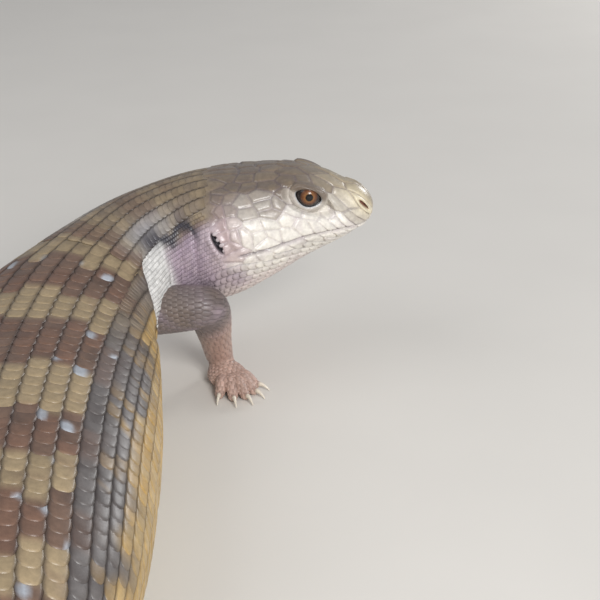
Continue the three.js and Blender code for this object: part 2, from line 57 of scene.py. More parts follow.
# The course of the body: distance behind the snout, heading in degrees, height of the axis, pitch
BODY_LENGTH = 500
MIDDLE = (-59.376, 218.747)
SNOUT = (22.8, 412.0)
COURSE = np.array([
    (0, 0, 56.5, 14), (20, 0, 55.2, 14), (35, 0, 51.2, 14), (55, 8, 45.5, 14),
    (73, 29, 41.5, 13), (93, 56, 36.0, 12), (117, 76, 31.0, 9), (143, 86, 27.6, 6),
    (194, 92, 24.6, 2), (234, 95, 22.6, 3), (265, 99, 20.0, 5), (300, 107, 15.6, 5),
    (340, 116, 12.8, 3), (400, 103, 9.2, 3), (450, 80, 6.0, 3), (500, 62, 2.4, 2),
])
# The body's sections: distance, half width, height above and below the axis, roundness of each half
GIRTH = np.array([
    (0, 5.4, 5.2, 4.8, 2.2, 2.2), (3.5, 6.6, 6.6, 6.4, 2.2, 2.2), (8, 8.9, 9.2, 8.9, 2.3, 2.2),
    (12, 10.8, 11.2, 10.8, 2.4, 2.2), (20, 14.2, 13.8, 13.4, 2.5, 2.2), (28, 17.6, 15.8, 15.6, 2.4, 2.1),
    (36, 20.6, 17.3, 17.6, 2.3, 2.1), (46, 22.6, 18.9, 19.6, 2.2, 2.1), (56, 22.0, 19.6, 20.2, 2.1, 2.1),
    (70, 20.6, 19.4, 19.6, 2.1, 2.1), (95, 24.0, 19.0, 20.0, 2.1, 2.2), (125, 32.0, 21.0, 22.6, 2.1, 2.3),
    (165, 38.0, 23.6, 26.0, 2.1, 2.5), (200, 39.0, 24.2, 25.4, 2.1, 2.6), (235, 36.0, 22.2, 23.4, 2.1, 2.6),
    (265, 27.0, 19.0, 20.6, 2.1, 2.4), (300, 18.6, 15.0, 16.2, 2.1, 2.2), (340, 15.6, 12.8, 13.4, 2.1, 2.2),
    (400, 11.0, 9.2, 9.8, 2.0, 2.2), (450, 7.0, 6.0, 6.5, 2.0, 2.2), (500, 2.6, 2.3, 2.8, 2.0, 2.0),
])
# Lengths over which the snout and the tip of the tail are rounded off
SNOUT_ROUND = 4.6
TAIL_ROUND = 4.0
# Swells and hollows: distance, degrees from the crown, spread along, spread around, height
FORMS = (
    (41, 96, 9, 24, 1.9), (19, 44, 6, 13, 0.9), (11, 68, 4, 16, -0.8), (33, 62, 5, 12, -0.7),
    (70, 90, 8, 40, -0.8), (14, 104, 14, 7, 0.5), (112, 112, 7, 24, -1.6),
)
# Places on the head, by distance behind the snout and distance round from the crown
EYE = {"s": 18.9, "g": 16.2, "across": 8.5, "up": 6.9, "radius": 4.6}
ORBIT = {"s": 18.9, "g": 16.6, "long": 6.4, "wide": 4.9}
MOUTH_CORNER = 43.0
EAR = {"s": 49.8, "g": 29.3, "long": 4.5, "wide": 1.25, "lean": -0.35}
NOSTRIL = {"s": 2.8, "g": 8.3, "radius": 1.0, "squeeze": 0.75}
# Behind this distance the shields of the head give way to scales
HEAD_END = 51

# Roots of the head shields, as distance behind the snout and distance round from the crown
CROWN_SHIELDS = ((7, 0), (16.5, 0), (28.5, 0), (36, 0), (41.5, 0))
SIDE_SHIELDS = (
    (3.5, 3.6), (2.8, 8.3), (11, 4.2), (14.6, 8.6), (19, 9.2), (23.6, 9.6), (23, 3.3), (30.5, 6.3),
    (37.5, 5.8), (42, 5), (30, 12), (36.5, 11.7), (40.8, 11), (44.5, 12.8), (46.5, 8), (7.6, 9.8),
    (12.2, 13.8), (6.2, 17.2), (9.4, 19.3), (12.3, 21), (15.2, 23), (18.3, 25), (22.3, 25.8),
    (27.2, 28.6), (33, 30.8), (14.5, 19.5), (19, 21.3), (23.8, 20.5), (24.5, 16.5), (27.8, 18.8),
    (32.3, 16.1), (31.2, 18.9), (30, 21.8), (38, 21.8), (39, 18), (42.5, 16), (46, 15), (51, 14),
    (50, 18), (36.5, 26), (31, 25.3), (26.5, 24), (40, 28.5), (35, 29), (30.8, 28.5), (43, 24.5),
    (43, 28.5), (43, 20.5), (3.6, 20), (6.6, 23.5), (10.5, 26.5), (14.5, 29.3), (19, 31.6), (24, 33.9),
    (29, 35.6), (34.5, 37), (40, 38.2), (3, 13.6), (46.6, 20.5), (46.9, 24.3), (46.4, 28), (45.6, 31.6),
    (44.4, 35), (49.2, 21.5), (45.5, 38.5),
)
# Shields are this much longer than wide, and the row above the mouth is this high
SHIELD_STRETCH = 1.25
LIP_ROW = 4.4

# Limbs, in the frame of the course: joints, half thicknesses, toes, and which way the foot points
FORE = {"upper": (6.8, 7.4, 7.2, 6.7), "lower": (6.5, 5.8, 4.7, 4.2), "toes": (5.6, 7.6, 8.6, 8.2, 6.2)}
HIND = {"upper": (8.4, 9, 8.2, 7.2), "lower": (7, 6.4, 5, 4.3), "toes": (6, 8.4, 10.2, 11.2, 7.6)}
LIMBS = {
    "right_fore": {
        "root": (-60, 386, 29), "bend": (-27.7, 385, 32.5), "ankle": (-26, 401, 7.5),
        "heading": -62, "spread": 0.75, "inner": 1, **FORE,
    },
    "left_fore": {
        "root": (-70, 392, 28), "bend": (-97, 397, 29), "ankle": (-106, 412, 7.5),
        "heading": 100, "spread": 1.0, "inner": -1, **FORE,
    },
    "right_hind": {
        "root": (-62, 224, 17), "bend": (-29, 237, 19), "ankle": (-16, 217, 7.5),
        "heading": 38, "spread": 1.0, "inner": 1, **HIND,
    },
    "left_hind": {
        "root": (-72, 222, 17), "bend": (-104, 226, 19), "ankle": (-119, 205, 7.5),
        "heading": 132, "spread": 1.0, "inner": -1, **HIND,
    },
}
PALM = {"ahead": 4.5, "long": 7.0, "wide": 6.2, "tall": 3.6, "height": 3.1}
TOE_FAN = (48, 24, 2, -20, -46)
TOE = {"start": 2.0, "root": 5.2, "bend": 0.35, "knuckle": 3.8, "tip": 1.3, "thick": 1.9, "thin": 1.35}
CLAW = {"long": 3.7, "gap": 1.3, "up": 0.6, "drop": 1.3, "thick": 0.95, "tip": 0.2}

# Light bars over the back: distance behind the snout and half length of each
BARS = (
    (66, 4), (84, 4.5), (102, 5.5), (136, 8.5), (182, 11.5), (219, 7), (249, 6.5), (282, 7),
    (315, 7), (347, 7), (378, 6.5), (407, 6.5), (434, 6), (459, 5.5), (482, 5),
)
# Bluish white flecks at the ends of the bars: distance behind the snout, distance round, radius
FLECKS = (
    (146, 11, 1.5), (133, 17, 1.7), (150, 19.5, 1.4), (168, 13.5, 1.5), (172, 19.5, 2.0), (196, 13.5, 1.6),
    (200, 19.5, 1.9), (214, 16, 1.4), (228, 9.5, 1.4), (231, 15.5, 1.6), (241, 21.5, 1.8), (112, 15, 1.6),
    (109, 7, 1.3), (158, 26, 1.5), (190, 27, 1.6), (212, 28, 1.4), (124, 22, 1.5), (255, 14, 1.3),
    (262, 18, 1.4), (289, 9, 1.3), (321, 8, 1.2), (353, 7, 1.1), (384, 5, 1.0),
)


def linear(code):
    """Turns an sRGB hex colour to linear red, green and blue."""
    parts = [int(code[k:k + 2], 16) / 255 for k in (1, 3, 5)]
    return tuple(p / 12.92 if p <= 0.04045 else ((p + 0.055) / 1.055) ** 2.4 for p in parts)


def colour(name, text, code):
    return FloatVectorProperty(
        name=name, description=text, default=linear(code), subtype="COLOR", min=0, max=1)


def length(name, text, millimetres):
    return FloatProperty(name=name, description=text, default=millimetres * MM, unit="LENGTH")


class SkinkSizes(bpy.types.PropertyGroup):
    """Sizes of the scales and of the relief of the skin"""
    scale_wide: length("Back scale width", "Width of one column of scales on the trunk", 5.8)
    scale_pitch: length("Back scale pitch", "Distance from ring to ring of scales on the trunk", 4.5)
    scale_rise: length("Scale rise", "Height of the rear edge of a scale on the trunk", 0.42)
    throat_scale: length("Throat scale width", "Width of the scales of the throat", 2.9)
    fine_scale: length("Neck scale width", "Width of the small scales of the side of the neck", 1.3)
    limb_scale: length("Leg scale width", "Width of the scales of the legs", 1.75)
    toe_scale: length("Toe scale width", "Width of the scales of the toes", 1.6)
    shield_height: length("Shield height", "Height of the head shields over the grooves between them", 0.45)
    groove: length("Groove width", "Width over which a head shield rounds down to its groove", 1.0)
    lip: length("Lip depth", "Depth of the groove between the lips", 1.1)


class SkinkColours(bpy.types.PropertyGroup):
    """Colours of the skin, scales, eyes and claws"""
    bar: colour("Bar", "Light bars over the back", "#9D8A6C")
    brown: colour("Back", "Rusty brown between the bars", "#70594B")
    rust: colour("Rust", "Warm patches of the brown back", "#755747")
    umber: colour("Edge", "Dark seams between the columns of scales", "#352A28")
    flank: colour("Flank", "Grey purple streaks of the upper flank", "#66615F")
    ochre: colour("Ochre", "Yellow ochre of the lower flank", "#B08E52")
    belly: colour("Belly", "Cream of the belly", "#D0C3A2")
    # The fleck colour is also used for a painted highlight on the nape
    fleck: colour("Fleck", "Bluish white flecks beside the bars", "#B4BBC4")
    crown: colour("Crown", "Grey brown of the top of the head", "#74665A")
    cheek: colour("Cheek", "Pale cream of the cheeks and lips", "#EAE4DA")
    nose: colour("Nose", "Warm cream round the nostril", "#EBDFC0")
    nostril: colour("Nostril", "Pink brown of the inside of the nostril", "#7E483C")
    throat: colour("Throat", "Pink white of the throat", "#D9CAC6")
    neck: colour("Neck", "Pink purple of the side of the neck", "#A391A0")
    # The streak colour is also used as painted shade inside the ear openings
    streak: colour("Streak", "Dark streak from the ear to the shoulder", "#302F3A")
    arm: colour("Leg", "Grey brown of the legs", "#766A68")
    finger: colour("Toe", "Pink brown of the toes", "#BF9F92")
    claw: colour("Claw", "Pale horn of the claws", "#E6DCCB")
    iris: colour("Iris", "Copper of the iris", "#70402A")
    pupil: colour("Pupil", "Black of the pupil", "#0B0909")
    floor: colour("Floor", "Pale floor", "#DEDAD3")


# Shape of the body

def along(table, column, s):
    """Reads one column of a table at s, on a smooth curve through its rows."""
    x = table[:, 0]
    y = table[:, column]
    s = np.clip(np.asarray(s, float), x[0], x[-1])
    slope = np.empty(len(x))
    slope[1:-1] = (y[2:] - y[:-2]) / (x[2:] - x[:-2])
    slope[0] = (y[1] - y[0]) / (x[1] - x[0])
    slope[-1] = (y[-1] - y[-2]) / (x[-1] - x[-2])
    i = np.clip(np.searchsorted(x, s, side="left") - 1, 0, len(x) - 2)
    span = x[i + 1] - x[i]
    t = (s - x[i]) / span
    return ((2 * t**3 - 3 * t**2 + 1) * y[i] + (t**3 - 2 * t**2 + t) * span * slope[i]
            + (3 * t**2 - 2 * t**3) * y[i + 1] + (t**3 - t**2) * span * slope[i + 1])


@lru_cache
def plan():
    """The axis of the body seen from above, a point a millimetre."""
    s = np.arange(BODY_LENGTH) + 0.5
    heading = np.radians(along(COURSE, 1, s))
    fall = along(COURSE, 2, s + 0.5) - along(COURSE, 2, s - 0.5)
    step = np.sqrt(1 - fall**2)
    x = np.concatenate([[0], np.cumsum(np.cos(heading) * step)])
    y = np.concatenate([[0], np.cumsum(np.sin(heading) * step)])
    return SNOUT[0] - MIDDLE[0] - x, SNOUT[1] - MIDDLE[1] - y


def place(s, across, up):
    """A point beside the axis at s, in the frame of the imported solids."""
    s, across, up = np.broadcast_arrays(np.asarray(s, float), across, up)
    heading = np.radians(along(COURSE, 1, s))
    pitch = np.radians(along(COURSE, 3, s))
    kept = np.clip(s, 0, BODY_LENGTH)
    steps = np.arange(BODY_LENGTH + 1)
    xs, ys = plan()
    axis = np.stack([np.interp(kept, steps, xs), np.interp(kept, steps, ys), along(COURSE, 2, s)], -1)
    level = [np.cos(heading), np.sin(heading)]
    ahead = np.stack([level[0] * np.cos(pitch), level[1] * np.cos(pitch), np.sin(pitch)], -1)
    right = np.stack([level[1], -level[0], 0 * heading], -1)
    above = np.stack([-level[0] * np.sin(pitch), -level[1] * np.sin(pitch), np.cos(pitch)], -1)
    return axis - ahead * (s - kept)[..., None] + right * across[..., None] + above * up[..., None]


def outline(s, angle, grow=0.0):
    """The section of the body at s: across and up at an angle from the crown, grown outward."""
    s, angle, grow = np.broadcast_arrays(*(np.asarray(part, float) for part in (s, angle, grow)))
    side = np.sin(angle)
    rise = np.cos(angle)
    top = rise > 0
    power = 2 / np.where(top, along(GIRTH, 4, s), along(GIRTH, 5, s))
    nose = np.clip(1 - s / SNOUT_ROUND, 0, 1)
    end = np.clip(1 - (BODY_LENGTH - s) / TAIL_ROUND, 0, 1)
    rounded = np.sqrt(np.maximum(1 - nose**2, 0.0004)) * np.sqrt(np.maximum(1 - end**2, 0.0004))
    half = along(GIRTH, 1, s) * rounded
    tall = np.where(top, along(GIRTH, 2, s), along(GIRTH, 3, s)) * rounded
    across = np.sign(side) * np.abs(side)**power * half
    up = np.sign(rise) * np.abs(rise)**power * tall
    turn = np.abs((np.degrees(angle) + 180) % 360 - 180)
    swell = grow
    for at, around, spread, width, height in FORMS:
        away = ((s - at) / spread)**2 + ((turn - around) / width)**2
        swell = swell + height * rounded * np.exp(-0.5 * away)
    out = np.stack([across / half**2, up / tall**2], -1)
    out = out / np.linalg.norm(out, axis=-1, keepdims=True)
    return across + out[..., 0] * swell, up + out[..., 1] * swell


# The table of girths: distance between its stations, and shares of each half girth
TABLE_STEP = 0.5
TABLE_SHARES = 256


@lru_cache
def girth_table():
    """Half girth at each station, and the angle at each share of it from the crown to the belly."""
    stations = np.arange(0, BODY_LENGTH + TABLE_STEP, TABLE_STEP)
    angles = np.linspace(0, math.pi, 481)
    across, up = outline(stations[:, None], angles[None, :])
    steps = np.hypot(np.diff(across, axis=1), np.diff(up, axis=1))
    arc = np.concatenate([np.zeros((len(stations), 1)), np.cumsum(steps, axis=1)], axis=1)
    shares = np.linspace(0, 1, TABLE_SHARES + 1)
    turned = np.array([np.interp(shares * row[-1], row, angles) for row in arc])
    return arc[:, -1], turned


def half_girth(s):
    halves = girth_table()[0]
    return np.interp(s, np.arange(len(halves)) * TABLE_STEP, halves)


def angle_at(s, q):
    """The angle from the crown at q millimetres round the skin, right side positive."""
    s, q = np.broadcast_arrays(np.asarray(s, float), np.asarray(q, float))
    turned = girth_table()[1]
    half = half_girth(s)
    q = (q + half) % (2 * half) - half
    row = np.clip(s / TABLE_STEP, 0, len(turned) - 1.001)
    column = np.clip(np.abs(q) / half * TABLE_SHARES, 0, TABLE_SHARES - 0.001)
    i = row.astype(int)
    j = column.astype(int)
    a = row - i
    b = column - j
    near = turned[i, j] * (1 - b) + turned[i, j + 1] * b
    far = turned[i + 1, j] * (1 - b) + turned[i + 1, j + 1] * b
    return np.sign(q) * (near * (1 - a) + far * a)


def body_point(s, q, grow=0.0):
    """A point on the body, s behind the snout and q round from the crown, grown outward."""
    return place(s, *outline(s, angle_at(s, q), grow))


def ramp(x, low, high):
    """Goes smoothly from 0 at low to 1 at high."""
    t = np.clip((np.asarray(x, float) - low) / (high - low), 0, 1)
    return t * t * (3 - 2 * t)


def bump(x, middle, spread):
    return np.exp(-((x - middle) / spread)**2)


@lru_cache
def grain(seed):
    return np.random.default_rng(seed).random((128, 128))


def mottle(x, y, cell, seed):
    """Soft random patches between 0 and 1, one about every cell millimetres."""
    table = grain(seed)
    u = np.asarray(x, float) / cell
    v = np.asarray(y, float) / cell
    i = np.floor(u).astype(int)
    j = np.floor(v).astype(int)
    a = u - i
    b = v - j
    a = a * a * (3 - 2 * a)
    b = b * b * (3 - 2 * b)
    corner = [table[(i + m) % 128, (j + n) % 128] for m in (0, 1) for n in (0, 1)]
    return (corner[0] * (1 - a) * (1 - b) + corner[1] * (1 - a) * b
            + corner[2] * a * (1 - b) + corner[3] * a * b)


@lru_cache
def mouth_table():
    """Distance round from the crown to the line of the mouth, a value a millimetre."""
    s = np.arange(0, MOUTH_CORNER + 8)
    level = -5.8 + 4.3 * (s / MOUTH_CORNER)**2 + 1.6 * np.maximum(1 - s / 5, 0)
    shares = np.linspace(0, 1, 400)
    found = []
    for at, height in zip(s, level):
        q = shares * half_girth(at)
        up = outline(at, angle_at(at, q))[1]
        found.append(q[np.argmin(np.abs(up - height))])
    return s, np.convolve(np.pad(found, 2, mode="edge"), np.ones(5) / 5, "valid")


def mouth_line(s):
    return np.interp(s, *mouth_table())


# Relief of the head: shields, lips, nostrils, ears and the hollow of the eye

def shield_roots():
    right = np.array(SIDE_SHIELDS, float)
    left = right * (1, -1)
    return np.concatenate([np.array(CROWN_SHIELDS, float), right, left])


def nearest_shields(s, q):
    """For each point, the nearest shield and how far its border is."""
    roots = shield_roots() / (SHIELD_STRETCH, 1)
    spot = np.stack([s / SHIELD_STRETCH, q], -1)
    gap = ((spot[:, None, :] - roots[None, :, :])**2).sum(-1)
    order = np.argpartition(gap, 1, axis=1)[:, :2]
    two = np.take_along_axis(gap, order, 1)
    swap = two[:, 0] > two[:, 1]
    order[swap] = order[swap][:, ::-1]
    two[swap] = two[swap][:, ::-1]
    apart = np.linalg.norm(roots[order[:, 0]] - roots[order[:, 1]], axis=1)
    return order[:, 0], (two[:, 1] - two[:, 0]) / (2 * apart), np.sqrt(two[:, 0])


def orbit_share(s, g):
    """Distance from the middle of the hollow of the eye, 1 at its edge."""
    return np.hypot((s - ORBIT["s"]) / ORBIT["long"], (g - ORBIT["g"]) / ORBIT["wide"])


def nostril_share(s, g):
    """Distance from the middle of the nostril, 1 at its edge."""
    return np.hypot((s - NOSTRIL["s"]) * NOSTRIL["squeeze"], g - NOSTRIL["g"]) / NOSTRIL["radius"]


def ear_offset(s, g):
    """Distance from the middle of the ear slit, down along it and back across it."""
    down = (g - EAR["g"]) + EAR["lean"] * (s - EAR["s"])
    over = (s - EAR["s"]) - EAR["lean"] * (g - EAR["g"])
    return down, over


def ear_share(s, g, longer=0.0, wider=0.0):
    """Distance from the middle of the ear slit, 1 at its edge or at that of a larger slit."""
    down, over = ear_offset(s, g)
    return np.hypot(down / (EAR["long"] + longer), over / (EAR["wide"] + wider))


def shield_relief(s, q, sizes):
    """Height of the head shields: domed plates with narrow grooves, each a little higher behind."""
    which, border, middle = nearest_shields(s, q)
    groove = 1 - (1 - np.clip(border * MM / sizes.groove, 0, 1))**2.6
    dome = 0.14 * np.clip(1 - (middle / 4.5)**2, 0, 1)
    tilt = 0.04 * np.clip(s - shield_roots()[which, 0], -4, 4)
    g = np.abs(q)
    row = mouth_line(s) + LIP_ROW
    shielded = (1 - ramp(s, HEAD_END - 3.5, HEAD_END)) * (1 - ramp(g, row - 0.6, row + 0.8))
    return shielded * (sizes.shield_height / MM * (groove - 1) + dome * groove + tilt * groove)


# The fold before the shoulder: distances round from the crown, and behind the snout at each
FOLD = ((17.7, 20.2, 22.9, 28.1, 32, 45), (86.5, 91, 95, 100, 104, 108))


def relief(s, q, sizes):
    """Height of the skin over the plain body, in millimetres, up to the shoulders."""
    g = np.abs(q)
    height = np.zeros(s.shape)
    head = s < HEAD_END
    height[head] = shield_relief(s[head], q[head], sizes)
    closed = ramp(s, MOUTH_CORNER + 1.5, MOUTH_CORNER - 1.5)
    beside = g - mouth_line(s)
    height -= closed * sizes.lip / MM * np.exp(-(beside / 0.38)**2)
    height += closed * 0.3 * (bump(beside, -1.3, 1.2) + bump(beside, 1.4, 1.2))
    height -= 1.2 * ramp(g, 14.5, 10) * ramp(s, 1.5, 9) * ramp(s, 56, 38)
    away = nostril_share(s, g)
    height += 0.35 * bump(away, 1.6, 0.6) - 1.5 * ramp(away, 1.05, 0.6)
    height -= 3.0 * ramp(ear_share(s, g), 1.1, 0.55)
    down, over = ear_offset(s, g)
    height += 0.5 * bump(over, EAR["wide"] + 1.1, 1.1) * ramp(np.abs(down), 6, 3)
    height -= 0.5 * bump(over, -3.6, 1.4) * ramp(np.abs(down), 8, 4)
    orbit = orbit_share(s, g)
    height -= 3.6 * ramp(orbit, 1.16, 0.86)
    height -= 0.45 * bump(orbit, 1.2, 0.14)
    height += 0.2 * bump(g, 11, 1.3) * ramp(np.abs(s - 18.8), 8.5, 5)
    for at, lean_back in ((60, 0.3), (68, 0.35), (76, 0.4)):
        fold = s - at - lean_back * (g - 30)
        height -= 0.55 * bump(fold, 0, 1.2) * ramp(g, 18, 26) * ramp(g, 60, 50)
    before = s - np.interp(g, *FOLD)
    hollow = 1.9 * ramp(before, 0.7, -0.7) * np.exp(-(np.minimum(before, 0) / 9)**2)
    ridge = 0.5 * ramp(before, -0.7, 0.7) * np.exp(-(np.maximum(before, 0) / 5)**2)
    return height + (ridge - hollow) * ramp(g, 17, 21) * ramp(g, 62, 50)


# Behind this distance the skin is plain
RELIEF_END = 130


def skin_point(s, q, grow, sizes):
    """A point over the body with the relief of the head and neck."""
    s, q, grow = np.broadcast_arrays(np.asarray(s, float), q, grow)
    height = np.array(grow, float)
    front = s < RELIEF_END
    nose = np.clip(1 - np.clip(1 - s[front] / SNOUT_ROUND, 0, 1)**2, 0.01, 1)
    height[front] += relief(s[front], q[front], sizes) * np.minimum(1, np.sqrt(nose) * 1.4)
    return body_point(s, q, height)


def over_floor(points, least=0.03):
    """Lifts whatever lies under the floor to just over it."""
    points[..., 2] = np.maximum(points[..., 2], least)
    return points


def skin_rings():
    """Stations of the rings of the skin, close together on the head."""
    turn = np.linspace(0, math.pi / 2, 26)
    return np.concatenate([
        SNOUT_ROUND * (1 - np.cos(turn)),
        np.arange(SNOUT_ROUND + 0.26, 60, 0.26),
        np.arange(60, 122, 0.8),
        np.arange(122, 300, 1.25),
        np.arange(300, BODY_LENGTH - TAIL_ROUND, 1.5),
        BODY_LENGTH - TAIL_ROUND * np.cos(np.linspace(0, math.pi / 2, 9)),
    ])


# Points in each ring of the skin
SKIN_COLUMNS = 360


def make_mesh(name, points, faces, tint=None, spots=None):
    """A smooth mesh object from points in millimetres and a list of arrays of faces."""
    mesh = bpy.data.meshes.new(name)
    mesh.vertices.add(len(points))
    mesh.vertices.foreach_set("co", (np.asarray(points) * MM).astype(np.float32).ravel())
    corners = np.concatenate([part.ravel() for part in faces])
    counts = np.concatenate([np.full(len(part), part.shape[1]) for part in faces])
    mesh.loops.add(len(corners))
    mesh.loops.foreach_set("vertex_index", corners.astype(np.int32))
    mesh.polygons.add(len(counts))
    mesh.polygons.foreach_set("loop_start", (np.cumsum(counts) - counts).astype(np.int32))
    mesh.polygons.foreach_set("use_smooth", np.ones(len(counts), bool))
    mesh.update(calc_edges=True)
    if mesh.validate():
        raise RuntimeError(name + " has broken faces")
    if tint is not None:
        set_tint(mesh, tint)
    if spots is not None:
        layer = mesh.uv_layers.new(name="OFBake")
        layer.uv.foreach_set("vector", spots[corners].astype(np.float32).ravel())
    piece = bpy.data.objects.new(name, mesh)
    bpy.context.collection.objects.link(piece)
    return piece


def set_tint(mesh, tint):
    layer = mesh.attributes.new("tint", "FLOAT_COLOR", "POINT")
    rgba = np.ones((len(tint), 4), np.float32)
    rgba[:, :3] = np.clip(tint, 0, 1)
    layer.data.foreach_set("color", rgba.ravel())


def tube_faces(rings, sides):
    """Faces between rings of points, closed at both ends."""
    k = np.arange(rings - 1)[:, None] * sides
    j = np.arange(sides)[None, :]
    after = (j + 1) % sides
    quads = np.stack([k + sides + j, k + sides + after, k + after, k + j], -1).reshape(-1, 4)
    last = j[:, ::-1] + (rings - 1) * sides
    return [quads, j, last]


def merge(parts):
    """Joins lists of points and faces, each part a pair."""
    points = []
    faces = {}
    start = 0
    for spots, groups in parts:
        points.append(spots)
        for group in groups:
            faces.setdefault(group.shape[1], []).append(group + start)
        start += len(spots)
    return np.concatenate(points), [np.concatenate(group) for group in faces.values()]


# Limbs

def from_course(point):
    return np.array(point, float) - (MIDDLE[0], MIDDLE[1], 0)


def heading_of(degrees):
    return np.array([math.cos(math.radians(degrees)), math.sin(math.radians(degrees)), 0])


def palm_of(limb):
    return from_course(limb["ankle"]) + heading_of(limb["heading"]) * PALM["ahead"]


def toes_of(limb):
    """The way that each toe of a limb points, and its length."""
    for fan, toe in zip(TOE_FAN, limb["toes"]):
        yield heading_of(limb["heading"] + limb["inner"] * limb["spread"] * fan), toe


def smooth_path(points, radii, count, passes):
    """An even path through the points with its corners rounded, and the radii along it."""
    points = np.array(points, float)
    radii = np.array(radii, float).reshape(len(points), -1)
    length_to = np.concatenate([[0], np.cumsum(np.linalg.norm(np.diff(points, axis=0), axis=1))])
    at = np.linspace(0, length_to[-1], count)
    path = np.stack([np.interp(at, length_to, points[:, k]) for k in range(3)], -1)
    size = np.stack([np.interp(at, length_to, radii[:, k]) for k in range(radii.shape[1])], -1)
    for _ in range(passes):
        path[1:-1] = (path[:-2] + 2 * path[1:-1] + path[2:]) / 4
        size[1:-1] = (size[:-2] + 2 * size[1:-1] + size[2:]) / 4
    return path, size


def path_frames(path):
    """For each point of a path, the way ahead, the way across and the way up."""
    ahead = np.gradient(path, axis=0)
    ahead /= np.linalg.norm(ahead, axis=1, keepdims=True)
    across = np.cross(ahead, (0, 0, 1))
    weak = np.linalg.norm(across, axis=1) < 0.25
    if weak.any():
        strong = np.flatnonzero(~weak)
        across[weak] = across[strong[np.argmin(np.abs(np.flatnonzero(weak)[:, None] - strong), axis=1)]]
    across -= ahead * (across * ahead).sum(1, keepdims=True)
    across /= np.linalg.norm(across, axis=1, keepdims=True)
    return ahead, across, np.cross(across, ahead)


def limb_tubes(limb):
    """The arm or leg, the palm and the toes as tubes: path and half thickness, across and up."""
    root, bend, ankle = (from_course(limb[key]) for key in ("root", "bend", "ankle"))
    ahead = heading_of(limb["heading"])
    palm = palm_of(limb)
    palm[2] = PALM["height"]
    upper = [root + (bend - root) * t for t in (0, 0.33, 0.66)]
    lower = [bend + (ankle - bend) * t for t in (0, 0.33, 0.66, 1)]
    wrist = (ankle + palm) / 2
    arm = smooth_path(
        upper + lower + [wrist], limb["upper"][:3] + limb["lower"] + (PALM["tall"] * 1.05,), 60, 10)
    tubes = {"arm": (arm[0], np.repeat(arm[1], 2, axis=1))}
    sole = [palm + ahead * (share * PALM["long"]) for share in (-0.72, -0.2, 0.3, 0.8)]
    shape = [(0.55, 0.75), (0.92, 1.0), (1.0, 0.95), (0.72, 0.62)]
    tubes["palm"] = smooth_path(sole, [(PALM["wide"] * a, PALM["tall"] * b) for a, b in shape], 30, 4)
    for k, (way, toe) in enumerate(toes_of(limb)):
        start = palm + way * TOE["start"]
        knuckle = palm + way * (TOE["root"] + TOE["bend"] * toe)
        tip = palm + way * (TOE["root"] + toe)
        start[2], knuckle[2], tip[2] = PALM["height"], TOE["knuckle"], TOE["tip"] + 0.1
        middle = (knuckle + tip) / 2 + (0, 0, 0.35)
        thick, thin = TOE["thick"], TOE["thin"]
        radii = [thick * 1.1, thick, (thick + thin) / 2 * 0.95, thin * 1.05]
        tubes["toe_" + str(k)] = smooth_path([start, knuckle, middle, tip], radii, 40, 5)
    return tubes


def tube_surface(path, size, t, turn, lift=0.0):
    """Points on a tube at a share t of its length and a turn from its top."""
    frames = path_frames(path)
    at = np.clip(t, 0, 1) * (len(path) - 1)
    index = np.arange(len(path))
    half = [np.interp(at, index, size[:, min(k, size.shape[1] - 1)]) for k in (0, 1)]
    spot = np.stack([np.interp(at, index, path[:, k]) for k in range(3)], -1)
    across = np.stack([np.interp(at, index, frames[1][:, k]) for k in range(3)], -1)
    up = np.stack([np.interp(at, index, frames[2][:, k]) for k in range(3)], -1)
    return (spot + across * (np.sin(turn) * (half[0] + lift))[..., None]
            + up * (np.cos(turn) * (half[1] + lift))[..., None])


def tube_solid(path, size, sides=36):
    """A closed tube with round ends."""
    cap = np.linspace(0, math.pi / 2, 7)[:-1]
    ahead = path_frames(path)[0]
    turn = np.arange(sides) * 2 * math.pi / sides
    ends = ((0, -1, cap[::-1]), (len(path) - 1, 1, cap))
    body = [tube_surface(path, size, np.full(sides, k / (len(path) - 1)), turn) for k in range(len(path))]
    rings = []
    for index, way, steps in ends:
        shell = []
        for a in steps:
            middle = path[index] + way * ahead[index] * size[index].min() * math.sin(a)
            shell.append(middle + (body[index] - path[index]) * max(math.cos(a), 0.05))
        rings.append(shell)
    points = np.concatenate(rings[0][:-1] + body + rings[1][1:])
    return points, tube_faces(len(points) // sides, sides)


def fused(name, parts, voxel, smooth):
    """One closed surface round several closed parts."""
    piece = make_mesh(name, *merge(parts))
    remesh = piece.modifiers.new("Remesh", "REMESH")
    remesh.mode = "VOXEL"
    remesh.voxel_size = voxel * MM
    soften = piece.modifiers.new("Smooth", "SMOOTH")
    soften.iterations = smooth
    soften.factor = 0.5
    return applied(piece)


def applied(piece):
    """Applies all of the modifiers of a piece."""
    graph = bpy.context.evaluated_depsgraph_get()
    mesh = bpy.data.meshes.new_from_object(piece.evaluated_get(graph))
    old = piece.data
    piece.modifiers.clear()
    piece.data = mesh
    bpy.data.meshes.remove(old)
    return piece


def eye_frame(side):
    """Middle of the eyeball, and the ways out, back and up from it."""
    middle = place(EYE["s"], side * EYE["across"], EYE["up"])
    q = side * EYE["g"]
    spot = body_point(EYE["s"], q)
    back = body_point(EYE["s"] + 3, q) - body_point(EYE["s"] - 3, q)
    back /= np.linalg.norm(back)
    out = spot - middle
    out -= back * out.dot(back) * 0.5
    out /= np.linalg.norm(out)
    back -= out * back.dot(out)
    back /= np.linalg.norm(back)
    up = np.cross(out, back) * side
    if up[2] < 0:
        up = -up
    return middle, out, back, up


# The lids: points round each, their opening and reach in degrees from the way out of the eye,
# how far the upper lid sinks under the brow, and where and how much the brow flattens it
LID_STEPS = 120
LID_OPEN = {"long": 57, "up": 37, "down": 39, "reach": 82, "under": 108}
LID_SUNK = 1.25
BROW = {"start": 2.9, "share": 0.6}


